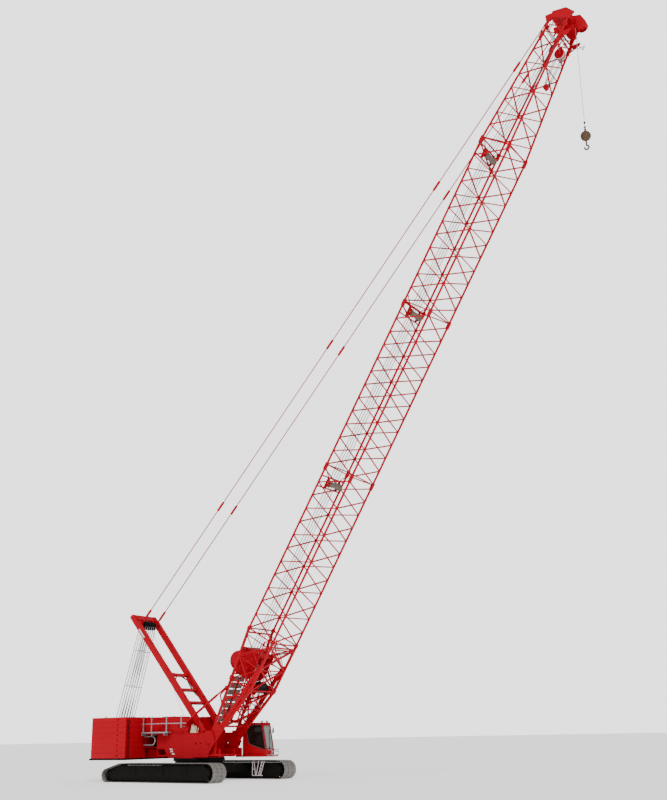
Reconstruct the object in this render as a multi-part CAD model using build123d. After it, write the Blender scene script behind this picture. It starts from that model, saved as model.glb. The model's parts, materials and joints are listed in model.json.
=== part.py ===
"""Crawler crane with a lattice boom, a scale model at 1:2. Millimetres, +Z up, +X forward, +Y left."""
from build123d import *
import math
import os

# ---- driving sizes ----------------------------------------------------------
clearance = 6                 # running gap between pieces that move past each other
seat_gap = 0.3                # gap of a seated round piece

swing_angle = 6.6             # the tracks lie this far clockwise of the upperworks

track_length = 5220
track_height = 610
rear_wheel_radius = 215
carrier_radius = 130
carrier_x = -1720
shoe_width = 620
track_gauge = 3500
track_depth = 72
shoe_count = 88
shoe_gap = 26
arc_step = 12                  # degrees between the corners of the track's inner outline
shoe_step = 16
frame_width = 400
panel_recess = 8
roller_radius = 62
roller_count = 10

carbody_length = 1900
carbody_height = 300
carbody_bottom = 240
axle_length = 560
ring_radius = 880
ring_top = 735
ring_height = 95

bed_bottom = 760
bed_deck = 850
deck_plate = 50
rail_top = 1030
rail_inner = 380
rail_outer = 470
bed_rear = -3540
bed_front = 1180
bed_half = 750
side_plate = 40
side_top = 1550                # top edge of the side plates
bracket_x = 826                # the thicker plate at the boom foot starts here
house_front = -650
house_rear = -1790
house_bottom = 1075
house_top = 2090
house_wall = 30
hood_inner = 645
hood_front = 110

weight_rear = -3560
weight_front = -1850
weight_bottom = 700
weight_height = 1405
weight_half = 1600
weight_inner = 640
slab_count = 8
step_recess = 85
seam = 5
tray_depth = bed_bottom - weight_bottom

boom_angle = 58.9
foot_x = 1005
foot_z = 1242
boom_width = 1450              # between the chords' centre lines
boom_depth = 1105
butt_length = 3870
insert_length = 6100
insert_count = 3
top_length = 4080
head_width = 960
head_depth = 670
head_shift = -15               # the top section's end lies this far towards the boom's front
chord_tube = 70
lace_tube = 38
lace_bays = 12
leg_length = 640
leg_plate = 70
leg_back = 150                 # half depths of the butt where its chords leave the legs
leg_front = 195
butt_bend = 1560               # from the legs to the bend of the front chords
bend_back = 344
bend_front = 540
butt_chord = 96
butt_lace = 46
foot_radius = 125
pin_radius = 45

mast_angle = 129.06
mast_x = 555
mast_z = 1615
mast_length = 5210
mast_pin_back = 433            # the pendant pins sit this far below the mast's end
mast_foot_spacing = 1080
mast_head_spacing = 1150
mast_beam_depth = 150
mast_beam_width = 120
mast_ears = 30
mast_shaft = 30

head_sheave_on = 550           # sizes of the head are taken from the end of the boom's top section
head_sheave_drop = -314
head_sheave_radius = 190
nose_on = 876
nose_drop = -530
nose_radius = 195
nose_inner = 60
nose_outer = 324
whip_drop = 4100
rope_radius = 7
ball_radius = 170

pendant_on = 620
pendant_rise = 380
pendant_bar = 34
pendant_spacing = 800
lug_plate = 24
lug_slot = 26
link_half = 190
mast_link = 494                # from the mast pins to the nearest links

stop_x = 60
stop_z = 1900
stop_along = 1230              # from the end of the legs to the stop's pin on the butt
stop_pin_radius = 30
stop_eye = 48
stop_in = 390                  # travel of the stop's rod from its stored place
stop_tube_radius = 42
stop_rod_radius = 28
stop_foot = 160                # closed lower end of the stop's tube

cab_rear = 1190
cab_front = 2160
cab_top_front = 1915
cab_inner = 880
cab_outer = 1370
cab_bottom = 775
cab_top = 1850
cab_wall = 25
cab_sill = 150                 # height of the upright part of the cab's front
door_gap = 8
door_travel = 520
luff_low = -43.9               # travel of the boom from its stored angle
luff_high = 23.1

nodes = {}


def prism(start, end, across, sides=4, turn=45):
    """A straight bar from start to end with a regular outline of the given size across its flats."""
    start = Vector(*start)
    run = Vector(*end) - start
    side = Vector(0, 1, 0) if abs(run.normalized().Y) < 0.9 else Vector(1, 0, 0)
    plane = Plane(origin=start, x_dir=side.cross(run), z_dir=run)
    outline = RegularPolygon(across / 2 / math.cos(math.pi / sides), sides, rotation=turn)
    return extrude(plane * outline, amount=run.length)


def block(x0, x1, y0, y1, z0, z1):
    """A box between two corners."""
    return Pos((x0 + x1) / 2, (y0 + y1) / 2, (z0 + z1) / 2) * Box(x1 - x0, y1 - y0, z1 - z0)


def plate(points, y0, y1):
    """A plate with an outline in X and Z, from y0 to y1."""
    face = make_face(Plane.XZ * Polyline(*points, close=True))
    return Pos(0, y0, 0) * extrude(face, amount=y1 - y0, dir=(0, 1, 0))


def disc(x, z, y0, y1, radius, bore=0):
    """A round disc or drum about an axis along Y."""
    body = Pos(x, (y0 + y1) / 2, z) * Rot(90, 0, 0) * Cylinder(radius, y1 - y0)
    if bore:
        body -= Pos(x, (y0 + y1) / 2, z) * Rot(90, 0, 0) * Cylinder(bore, y1 - y0 + 2)
    return body


def mirror_y(shape):
    return mirror(shape, about=Plane.XZ)


def fuse(shapes):
    """One fused body of many."""
    return Part() + list(shapes)


# ---- undercarriage, drawn along X and turned at the end ----------------------
idler_radius = track_height / 2
idler_x = track_length / 2 - idler_radius
drive_x = -track_length / 2 + rear_wheel_radius
belt_wheels = [                                     # x, z, outer radius, from front to rear over the top
    (idler_x, idler_radius, idler_radius),
    (carrier_x, track_height - carrier_radius, carrier_radius),
    (drive_x, rear_wheel_radius, rear_wheel_radius),
]


def belt_spans(wheels):
    """The belt's straight runs and arcs, counter-clockwise, each with its length."""
    spans = []
    count = len(wheels)
    tangents = []
    for i in range(count):
        x0, z0, r0 = wheels[i]
        x1, z1, r1 = wheels[(i + 1) % count]
        heading = math.atan2(z1 - z0, x1 - x0)
        lean = math.acos((r0 - r1) / math.hypot(x1 - x0, z1 - z0))
        tangents.append(heading - lean)
    for i in range(count):
        x0, z0, r0 = wheels[i]
        x1, z1, r1 = wheels[(i + 1) % count]
        before = tangents[i - 1]
        after = tangents[i]
        sweep = (after - before) % (2 * math.pi)
        spans.append(("arc", x0, z0, r0, before, sweep, r0 * sweep))
        ax, az = x0 + r0 * math.cos(after), z0 + r0 * math.sin(after)
        bx, bz = x1 + r1 * math.cos(after), z1 + r1 * math.sin(after)
        spans.append(("run", ax, az, bx, bz, after, math.hypot(bx - ax, bz - az)))
    return spans


def belt_point(spans, way, inset):
    """The point at a distance along the belt, set in from its outside."""
    for span in spans:
        length = span[-1]
        if way > length:
            way -= length
            continue
        if span[0] == "arc":
            _, x, z, r, before, sweep, _ = span
            angle = before + sweep * way / length
            return (x + (r - inset) * math.cos(angle), z + (r - inset) * math.sin(angle))
        _, ax, az, bx, bz, angle, _ = span
        part = way / length
        return (ax + (bx - ax) * part - inset * math.cos(angle), az + (bz - az) * part - inset * math.sin(angle))
    return belt_point(spans, 0, inset)


def track_loop():
    """The closed track: the shoes stand out of one outline."""
    spans = belt_spans(belt_wheels)
    pitch = sum(span[-1] for span in spans) / shoe_count
    outer = []
    for k in range(shoe_count):
        start = k * pitch
        outer.append(belt_point(spans, start + shoe_gap / 2, 0))
        outer.append(belt_point(spans, start + pitch - shoe_gap / 2, 0))
        outer.append(belt_point(spans, start + pitch - shoe_gap / 2, shoe_step))
        outer.append(belt_point(spans, start + pitch + shoe_gap / 2 - 0.01, shoe_step))
    inner = []
    way = 0
    for span in spans:
        if span[0] == "arc":
            steps = math.ceil(math.degrees(span[5]) / arc_step)
            inner += [belt_point(spans, way + span[-1] * k / steps, track_depth) for k in range(steps + 1)]
        way += span[-1]
    return plate(outer, -shoe_width / 2, shoe_width / 2) - plate(inner, -shoe_width / 2 - 1, shoe_width / 2 + 1)


def wheel(x, z, radius, tread, flange, width, hub):
    """A track wheel with a tread between two flanges and a hub on each side."""
    half = width / 2
    profile = [
        (0, -half - hub), (radius * 0.35, -half - hub), (radius * 0.35, -half), (radius, -half),
        (radius, -half + flange), (radius - tread, -half + flange), (radius - tread, half - flange),
        (radius, half - flange), (radius, half), (radius * 0.35, half), (radius * 0.35, half + hub), (0, half + hub),
    ]
    face = make_face(Plane.XY * Polyline(*profile, close=True))
    return Pos(x, 0, z) * revolve(face, Axis.Y)


def track_frame():
    """The crawler side frame: a deep beam between side plates that carry the wheels."""
    inside = track_depth + clearance
    low = inside + 2 * roller_radius
    wheel_room = idler_radius - track_depth + clearance
    drive_room = rear_wheel_radius - track_depth + clearance
    half = frame_width / 2
    beam = plate(
        [
            (drive_x + drive_room + 60, low), (idler_x - wheel_room, low),
            (idler_x - wheel_room, track_height - inside), (carrier_x, track_height - inside),
            (drive_x + drive_room + 60, rear_wheel_radius * 1.45),
        ],
        -half, half,
    )
    for side in (-1, 1):
        y0, y1 = sorted((side * (half - 30), side * half))
        arm = plate(
            [
                (drive_x - 60, rear_wheel_radius - 80), (idler_x + 90, idler_radius - 90),
                (idler_x + 90, idler_radius + 90), (idler_x - wheel_room, track_height - inside),
                (carrier_x, track_height - inside), (drive_x - 60, rear_wheel_radius + 80),
            ],
            y0, y1,
        )
        for x, z, radius in ((idler_x, idler_radius, 75), (drive_x, rear_wheel_radius, 52)):
            arm -= disc(x, z, y0 - 1, y1 + 1, radius)
        beam += arm
    for side in (-1, 1):
        for k in range(4):
            x = -1300 + k * 800
            y0, y1 = sorted((side * (half - panel_recess), side * (half + 1)))
            beam -= block(x, x + 560, y0, y1, low + 40, low + 210)
    return beam


def track_rollers():
    """The lower rollers in a row, each hung from the beam on a saddle."""
    low = track_depth + clearance + 2 * roller_radius
    first = drive_x + 420
    last = idler_x - 420
    rollers = []
    for k in range(roller_count):
        x = first + (last - first) * k / (roller_count - 1)
        z = track_depth + seat_gap + roller_radius
        body = wheel(x, z, roller_radius, 10, 40, 260, 16)
        for side in (-1, 1):
            y0, y1 = sorted((side * 146, side * 170))
            body += block(x - 40, x + 40, y0, y1, z - 30, low)
        rollers.append(body)
    return rollers


def wheels_of_track():
    hub = frame_width / 2 - 30 - 130 - seat_gap
    flat = math.cos(math.radians(arc_step / 2))
    idler = wheel(idler_x, idler_radius, (idler_radius - track_depth) * flat - seat_gap, 26, 60, 260, hub)
    drive_radius = (rear_wheel_radius - track_depth) * flat - seat_gap
    drive = wheel(drive_x, rear_wheel_radius, drive_radius, 18, 60, 260, hub)
    return idler, drive


def access_ladder():
    """Folded access steps on the inner side of the left crawler frame."""
    y = -frame_width / 2
    bars = []
    for x0, x1 in ((1180, 1200), (1230, 1330), (1400, 1420), (1450, 1560)):
        bars.append(prism((x0, y - 45, 140), (x1, y - 45, 500), 24))
    bars.append(block(1150, 1590, y - 57, y - 33, 120, 150))
    bars.append(block(1150, 1590, y - 57, y - 33, 485, 515))
    for x in (1160, 1560):
        bars.append(block(x, x + 24, y - 57, y + panel_recess, 300, 330))
        bars.append(block(x, x + 24, y - 57, y - 33, 120, 515))
    return fuse(bars)


def carbody():
    """The centre box with two cross axles that run out to the crawler frames."""
    half = carbody_length / 2
    reach = track_gauge / 2 - frame_width / 2
    top = carbody_bottom + carbody_height
    body = block(-half * 0.82, half * 0.82, -900, 900, carbody_bottom, top)
    for x in (-half + axle_length / 2, half - axle_length / 2):
        body += block(x - axle_length / 2, x + axle_length / 2, -reach, reach, carbody_bottom + 20, top - 30)
    ring_low = ring_top - ring_height
    return body + Pos(0, 0, (top + ring_low) / 2) * Cylinder(ring_radius - 60, ring_low - top)


turn = Rot(0, 0, -swing_angle)
idler, drive = wheels_of_track()
sides = {"right": Pos(0, -track_gauge / 2, 0), "left": Pos(0, track_gauge / 2, 0)}
nodes["carbody"] = turn * carbody()
nodes["slew_ring"] = Pos(0, 0, ring_top - ring_height / 2) * Cylinder(ring_radius, ring_height)
loop = track_loop()
side_frame = track_frame()
rollers = track_rollers()
for name, place in sides.items():
    nodes[f"track_{name}"] = turn * place * loop
    nodes[f"crawler_frame_{name}"] = turn * place * side_frame
    nodes[f"track_wheels_{name}"] = [turn * place * idler, turn * place * drive]
    nodes[f"track_rollers_{name}"] = [turn * place * roller for roller in rollers]
nodes["access_ladder"] = turn * sides["left"] * access_ladder()


# ---- upperworks ---------------------------------------------------------------
def bed_frame():
    """Rotating bed: two long beams under a deck, with the side plates that hold the boom foot."""
    deck_low = bed_deck - deck_plate
    deck = block(-1260, bed_front, -bed_half, bed_half, deck_low, bed_deck)
    deck += Pos(0, 0, (ring_top + deck_low) / 2) * Cylinder(ring_radius - 30, deck_low - ring_top)
    foot_inner = boom_width / 2 - leg_plate - clearance
    mast_gap = mast_beam_width / 2 + clearance
    for side in (-1, 1):
        y0, y1 = sorted((side * rail_inner, side * rail_outer))
        deck += block(bed_rear, bed_front, y0, y1, bed_bottom, rail_top)
        y0, y1 = sorted((side * bed_half, side * (bed_half + side_plate)))
        deck += plate(
            [
                (-1225, 1036), (-885, 1030), (-735, bed_bottom), (915, bed_bottom), (1130, 1110), (1190, 1240),
                (1170, 1420), (1085, 1610), (bracket_x, 1610), (bracket_x, side_top), (-725, side_top),
                (-1225, 1510),
            ],
            y0, y1,
        )
        y0, y1 = sorted((side * (bed_half + side_plate), side * (bed_half + side_plate + 14)))
        deck += plate(
            [
                (bracket_x, 1290), (1020, 1170), (1130, 1110), (1190, 1240), (1170, 1420), (1085, 1610),
                (bracket_x, 1610),
            ],
            y0, y1,
        )
        for x in (455, 648):
            deck -= disc(x, 1203, y0 - 60, y1 + 60, 26)
        y0, y1 = sorted((side * (foot_inner - side_plate), side * foot_inner))
        cheek = [(780, bed_deck), (1180, bed_deck), (1180, 1300), (1080, 1390), (930, 1390), (780, 1250)]
        deck += plate(cheek, y0, y1)
        for offset in (-mast_gap - mast_ears, mast_gap):
            y = mast_foot_spacing / 2 + offset
            y0, y1 = sorted((side * y, side * (y + mast_ears)))
            deck += plate(
                [
                    (mast_x - 300, bed_deck), (mast_x + 170, bed_deck), (mast_x + 80, mast_z),
                    (mast_x + 30, mast_z + 75), (mast_x - 40, mast_z + 75), (mast_x - 90, mast_z),
                ],
                y0, y1,
            )
    deck -= disc(foot_x, foot_z, -bed_half - side_plate, bed_half + side_plate, pin_radius + seat_gap)
    deck -= disc(mast_x, mast_z, -bed_half + 100, bed_half - 100, pin_radius + seat_gap)
    deck += block(-1260, -1200, -bed_half, bed_half, deck_low, rail_top)
    for x in (house_rear, house_front - 40):
        for side in (-1, 1):
            y0, y1 = sorted((side * rail_inner, side * rail_outer))
            deck += block(x, x + 40, y0, y1, rail_top - 10, house_bottom)
    for x in (bed_rear, -2600):
        deck += block(x, x + 80, -rail_outer, rail_outer, bed_bottom, rail_top)
    return deck


def engine_house():
    """The engine house: a hollow shell, open below, with louvre slots and an open bay on both sides."""
    shell = block(house_rear, house_front, -bed_half, bed_half, house_bottom, house_top)
    shell -= block(house_rear + house_wall, house_front - house_wall, -bed_half + house_wall,
                   bed_half - house_wall, house_bottom - 1, house_top - house_wall)
    for side in (-1, 1):
        y0, y1 = sorted((side * (bed_half - house_wall - 1), side * (bed_half + 1)))
        shell -= block(house_rear + 50, -1250, y0, y1, house_bottom + 30, 1510)
        y0, y1 = sorted((side * (bed_half - 10), side * (bed_half + 1)))
        for k in range(6):
            z = 1640 + k * 45
            shell -= block(-1180, -760, y0, y1, z, z + 22)
    return shell


def machinery_hoods():
    hoods = []
    for side in (-1, 1):
        y0, y1 = sorted((side * hood_inner, side * bed_half))
        hoods.append(plate(
            [
                (house_front, bed_deck), (60, bed_deck), (60, 1640), (hood_front - 20, 1660), (hood_front, 1900),
                (hood_front + 40, 2050), (20, house_top), (house_front, house_top),
            ],
            y0, y1,
        ))
    return hoods


def counterweight(side):
    """One side stack of slabs: seams cut round it, a step recess at the front outer corner."""
    corner = 90
    notch_x = step_recess
    notch_y = 150
    points = [
        (weight_front, -weight_inner), (weight_front, -weight_half + notch_y),
        (weight_front - notch_x, -weight_half + notch_y), (weight_front - notch_x, -weight_half),
        (weight_rear + corner, -weight_half), (weight_rear, -weight_half + corner), (weight_rear, -weight_inner),
    ]
    outline = make_face(Polyline(*points, close=True))
    base = weight_bottom + tray_depth
    height = weight_height - tray_depth
    stack = Pos(0, 0, base) * extrude(outline, amount=height)
    inner = offset(outline, amount=-14)
    slab = height / slab_count
    for k in range(1, slab_count):
        groove = extrude(outline, amount=seam) - extrude(inner, amount=seam)
        stack -= Pos(0, 0, base + k * slab - seam / 2) * groove
    for k in range(slab_count):
        low = base + (k + 0.35) * slab
        stack -= block(-2330, -2280, -weight_half - 1, -weight_half + 30, low, low + 0.35 * slab)
    return stack if side < 0 else mirror_y(stack)


def counterweight_tray():
    wide = weight_half - 10
    return block(weight_rear, weight_front - 100, -wide, wide, weight_bottom, weight_bottom + tray_depth)


def counterweight_centre():
    wide = weight_inner - clearance
    return block(weight_rear + 20, weight_front - 20, -wide, wide, rail_top, 1880)


def counterweight_steps():
    rungs = []
    for side in (-1, 1):
        for k in range(9):
            z = weight_bottom + 150 + k * 145
            y0, y1 = sorted((side * (weight_half - 140), side * (weight_half - 20)))
            rungs.append(block(weight_front - step_recess, weight_front - 60, y0, y1, z, z + 26))
    return rungs


def winch(x, z, radius, half, flange):
    """A rope drum between two flanges, with a hub on each side."""
    drum = disc(x, z, -half, half, radius)
    for side in (-1, 1):
        y0, y1 = sorted((side * half, side * (half - 24)))
        drum += disc(x, z, y0, y1, radius + flange)
        y0, y1 = sorted((side * half, side * (half + 40)))
        drum += disc(x, z, y0, y1, radius * 0.45)
    return drum


def drum_stands():
    """Bearing plates for the two deck drums."""
    stands = []
    for x, z in deck_drums:
        for side in (-1, 1):
            y0, y1 = sorted((side * (deck_drum_half + 8), side * (deck_drum_half + 38)))
            ear = plate([(x - 210, bed_deck), (x + 210, bed_deck), (x + 110, z + 120), (x - 110, z + 120)], y0, y1)
            ear -= disc(x, z, y0 - 1, y1 + 1, deck_drum_radius * 0.45 + seat_gap)
            stands.append(ear)
    return stands


deck_drum_radius = 170
deck_drum_half = 210
deck_drums = [(-330, 1270), (330, 1270)]             # x, z of each drum's axis


def walkway(side):
    """A grating walkway beside the engine house, on three brackets."""
    inner = bed_half + side_plate
    y0, y1 = sorted((side * inner, side * (bed_half + 270)))
    walk = block(house_rear + 50, -590, y0, y1, 1560, 1600)
    for x, start in ((house_rear + 56, bed_half), (-1300, bed_half), (-760, inner)):
        y2, y3 = sorted((side * start, side * (bed_half + 260)))
        walk += block(x, x + 24, y2, y3, 1480, 1570)
    return walk


def handrail(side):
    """Posts and a rail above the walkway and along the hood."""
    y = side * (bed_half + 262)
    rail = 1870
    hood_post = -13
    bars = [prism((house_rear + 60, y, rail), (200, y, rail), 24)]
    for x, foot in ((-1660, 1600), (-1295, 1600), (-644, 1600), (hood_post, 1728)):
        bars.append(prism((x, y, foot), (x, y, 2115), 30))
    bars.append(prism((hood_post, y, 1760), (hood_post, side * bed_half, 1760), 24))
    return fuse(bars)


def intake_loop():
    """A pipe bent in a U on the lower side of the engine house, its ends turned in to the wall."""
    radius = 140
    tube = 24
    x = -1430
    z = 1316
    end = house_rear + tube + 2
    y = -bed_half - 60
    bend = CenterArc((0, 0), radius, -90, 180)
    loop = sweep(Plane(bend @ 0, z_dir=bend % 0) * Circle(tube), path=bend)
    loop = Pos(x, y, z) * Rot(90, 0, 0) * loop
    for level in (z - radius, z + radius):
        loop += Pos((x + end) / 2, y, level) * Rot(0, 90, 0) * Cylinder(tube, x - end)
        loop += Pos(end, (y - bed_half) / 2, level) * Rot(90, 0, 0) * Cylinder(tube, abs(y + bed_half))
        loop += Pos(end, y, level) * Sphere(tube)
    return loop


def bridle():
    """Rear sheaves of the boom hoist on a stand over the centre weight."""
    x = weight_rear + 150
    z = 2010
    body = block(x - 120, x + 220, -520, 520, 1880, 1920)
    for k in range(6):
        y = -450 + k * 180
        body += plate([(x - 60, 1920), (x + 60, 1920), (x + 60, z), (x, z + 60), (x - 60, z)], y - 10, y + 10)
    body += disc(x, z, -490, 490, 28)
    for k in range(5):
        y = -360 + k * 180
        body += disc(x, z, y - 22, y + 22, 110)
    return body


def cab_profile(grow):
    return [
        (cab_rear + grow, cab_bottom + grow), (cab_front - grow, cab_bottom + grow),
        (cab_front - grow, cab_bottom + cab_sill), (cab_top_front - grow, cab_top - grow),
        (cab_rear + grow, cab_top - grow),
    ]


cab_side_window = [(1470, 1800), (1500, 1120), (2020, 945), (1862, 1800)]
door_outline = [(1450, 830), (2010, 830), (2010, 960), (1850, 1815), (1450, 1815)]
door_bottom = 820
door_top = 1830


def cab_shell():
    """The operator's cab: a hollow shell with its windows and its doorway cut."""
    shell = plate(cab_profile(0), cab_inner, cab_outer)
    shell -= plate(cab_profile(cab_wall), cab_inner + cab_wall, cab_outer - cab_wall)
    shell -= plate(cab_side_window, cab_inner - 1, cab_inner + cab_wall + 1)
    shell -= plate(door_outline, cab_outer - cab_wall - 1, cab_outer + 1)
    wide = 45
    shell -= plate([(cab_front - 200, 985), (cab_front + 60, 985), (cab_front + 60, 1745), (cab_top_front - 60, 1745)],
                   cab_inner + wide, cab_outer - wide)
    shell -= block(1560, 1830, cab_inner + 70, cab_outer - 70, cab_top - cab_wall - 1, cab_top + 1)
    shell -= block(cab_rear - 1, cab_rear + cab_wall + 1, cab_inner + 70, cab_outer - 70, 1350, 1760)
    for low in (door_bottom - 20, door_top - 4):
        shell += block(cab_rear, cab_top_front - 10, cab_outer, cab_outer + door_gap - seat_gap, low, low + 22)
    return shell


def slanted(depth, low, high, y0, y1):
    """A pane in the plane of the slanted front."""
    lean = (cab_front - cab_top_front) / (cab_top - cab_bottom - cab_sill)
    x_low = cab_front - lean * (low - cab_bottom - cab_sill)
    x_high = cab_front - lean * (high - cab_bottom - cab_sill)
    return plate([(x_low - depth, low), (x_low, low), (x_high, high), (x_high - depth, high)], y0, y1)


def cab_glass():
    fit = seat_gap
    wide = 45 + fit
    panes = [plate(cab_side_window, cab_inner + 8, cab_inner + 16)]
    panes.append(slanted(10, 985 + fit, 1745 - fit, cab_inner + wide, cab_outer - wide))
    panes.append(block(1560 + fit, 1830 - fit, cab_inner + 70 + fit, cab_outer - 70 - fit, cab_top - 16, cab_top - 6))
    panes.append(block(cab_rear + 8, cab_rear + 16, cab_inner + 70 + fit, cab_outer - 70 - fit, 1350 + fit, 1760 - fit))
    return panes


def cab_door():
    """The sliding door: a frame as thick as its wall, outside the shell, with a glazed upper part."""
    y0 = cab_outer + door_gap
    door = plate(
        [(1430, door_bottom), (2035, door_bottom), (2035, 960), (1868, door_top), (1430, door_top)], y0, y0 + 22)
    door -= plate([(1490, 1120), (1960, 1120), (1825, 1770), (1490, 1770)], y0 - 1, y0 + 23)
    return door


def door_glass():
    y0 = cab_outer + door_gap
    return plate([(1490, 1120), (1960, 1120), (1825, 1770), (1490, 1770)], y0 + 7, y0 + 15)


def cab_seat():
    x = 1480
    y = (cab_inner + cab_outer) / 2
    floor = cab_bottom + cab_wall
    seat = block(x - 70, x + 70, y - 70, y + 70, floor, floor + 230)
    seat += block(x - 130, x + 150, y - 125, y + 125, floor + 230, floor + 310)
    back = [(x - 190, floor + 270), (x - 120, floor + 270), (x - 160, floor + 720), (x - 215, floor + 720)]
    seat += plate(back, y - 120, y + 120)
    return seat


def cab_console():
    floor = cab_bottom + cab_wall
    parts = []
    for y0 in (cab_inner + cab_wall + 8, cab_outer - cab_wall - 68):
        box = block(1560, 1820, y0, y0 + 60, floor, floor + 340)
        box += prism((1780, y0 + 30, floor + 340), (1800, y0 + 30, floor + 440), 16)
        parts.append(box)
    return parts


def cab_support():
    """Outrigged platform under the cab with a step and grab bars at the front."""
    inner = bed_half + side_plate
    support = block(1000, cab_front - 60, inner, cab_outer, cab_bottom - 45, cab_bottom)
    support += block(960, 1170, inner, cab_inner - 4, cab_bottom - 45, cab_bottom + 260)
    for y in (cab_outer - 60, cab_inner + 60):
        z = cab_bottom - 22
        support += prism((cab_front - 70, y, z), (cab_front + 210, y, z), 30)
    support += block(cab_front + 90, cab_front + 215, cab_inner + 40, cab_outer - 40, cab_bottom - 40, cab_bottom - 10)
    return support


nodes["bed_frame"] = bed_frame()
nodes["engine_house"] = engine_house()
nodes["engine_block"] = block(-1650, -800, -450, 450, rail_top, 1900)
nodes["machinery_hoods"] = machinery_hoods()
nodes["counterweight_right"] = counterweight(-1)
nodes["counterweight_left"] = counterweight(1)
nodes["counterweight_tray"] = counterweight_tray()
nodes["counterweight_centre"] = counterweight_centre()
nodes["counterweight_steps"] = counterweight_steps()
nodes["deck_drums"] = [winch(x, z, deck_drum_radius, deck_drum_half, 70) for x, z in deck_drums]
nodes["drum_stands"] = drum_stands()
nodes["walkways"] = [walkway(-1), walkway(1)]
nodes["handrails"] = [handrail(-1), handrail(1)]
nodes["intake_loop"] = intake_loop()
nodes["hoist_bridle"] = bridle()
nodes["cab_shell"] = cab_shell()
nodes["cab_glass"] = cab_glass()
nodes["cab_seat"] = cab_seat()
nodes["cab_consoles"] = cab_console()
nodes["cab_support"] = cab_support()
nodes["cab_door"] = cab_door()
nodes["door_glass"] = door_glass()


# ---- boom, drawn along X from its foot, its back towards +Z ------------------
boom_place = Pos(foot_x, 0, foot_z) * Rot(0, -boom_angle, 0)
socket_length = 130
socket_across = chord_tube + 26
joints_along = [butt_length + insert_length * k for k in range(insert_count + 1)]


def lattice(length, start_size, end_size, bays, margin, shift=(0, 0), open_back=False):
    """A four-chord lattice section: chords, a zigzag on each face, a frame and sockets at its ends."""
    def corner(along, side, back):
        part = along / length
        width = start_size[0] + (end_size[0] - start_size[0]) * part
        depth = start_size[1] + (end_size[1] - start_size[1]) * part
        return (along, side * width / 2, back * depth / 2 + shift[0] + (shift[1] - shift[0]) * part)

    bars = []
    for side in (-1, 1):
        for back in (-1, 1):
            bars.append(prism(corner(-20, side, back), corner(length + 20, side, back), chord_tube, 8, 22.5))
            for along in (-20, length - socket_length):
                bars.append(prism(corner(along, side, back), corner(along + socket_length + 20, side, back), socket_across))
    step = (length - 2 * margin) / bays
    faces = [                                     # the two chords of each face: side and back of each
        ((-1, -1), (-1, 1)), ((1, -1), (1, 1)), ((-1, -1), (1, -1)), ((-1, 1), (1, 1)),
    ]
    for index, (first, second) in enumerate(faces):
        if open_back and index == 3:
            continue
        for k in range(bays):
            a, b = (first, second) if k % 2 == 0 else (second, first)
            bars.append(prism(corner(margin + k * step, *a), corner(margin + (k + 1) * step, *b), lace_tube))
        bars.append(prism(corner(socket_length / 2, *first), corner(socket_length / 2, *second), lace_tube))
    return fuse(bars) & block(0, length, -boom_width, boom_width, -boom_width, boom_width)


def boom_leg():
    """One plate leg with the foot eye, on the right; the butt's chords go on from its end."""
    y0 = -boom_width / 2
    y1 = y0 + leg_plate
    half = butt_chord / 2
    leg = plate(
        [
            (0, -foot_radius), (leg_length, -leg_front - half), (leg_length, leg_back + half), (0, foot_radius),
        ],
        y0, y1,
    )
    leg += disc(0, 0, y0, y1, foot_radius)
    leg += disc(0, 0, -bed_half - side_plate + 3, y1 + 40, pin_radius)
    return leg


winches = [                                       # along, rise, drum radius and flange of each winch in the butt
    (2700, 640, 200, 120),
    (2700, 110, 130, 60),
]
winch_half = 380
winch_ear = 32
butt_stations = [                                 # along, half width, back and front of the chords' centre lines
    (leg_length, (boom_width - leg_plate) / 2, leg_back, leg_front),
    (leg_length + butt_bend, boom_width / 2 - 15, bend_back, bend_front),
    (butt_length, boom_width / 2, boom_depth / 2, boom_depth / 2),
]


def butt_point(along, side, back):
    """A point on the centre line of one of the butt's chords."""
    for start, end in zip(butt_stations, butt_stations[1:]):
        if along <= end[0]:
            break
    part = (along - start[0]) / (end[0] - start[0])
    half, rear, front = (a + (b - a) * part for a, b in zip(start[1:], end[1:]))
    return (along, side * half, rear if back > 0 else -front)


stop_pin_at = leg_length + stop_along
stop_pin_rise = butt_point(stop_pin_at, 1, 1)[2]
stop_y = boom_width / 2 + butt_chord / 2 + clearance + stop_tube_radius


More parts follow.
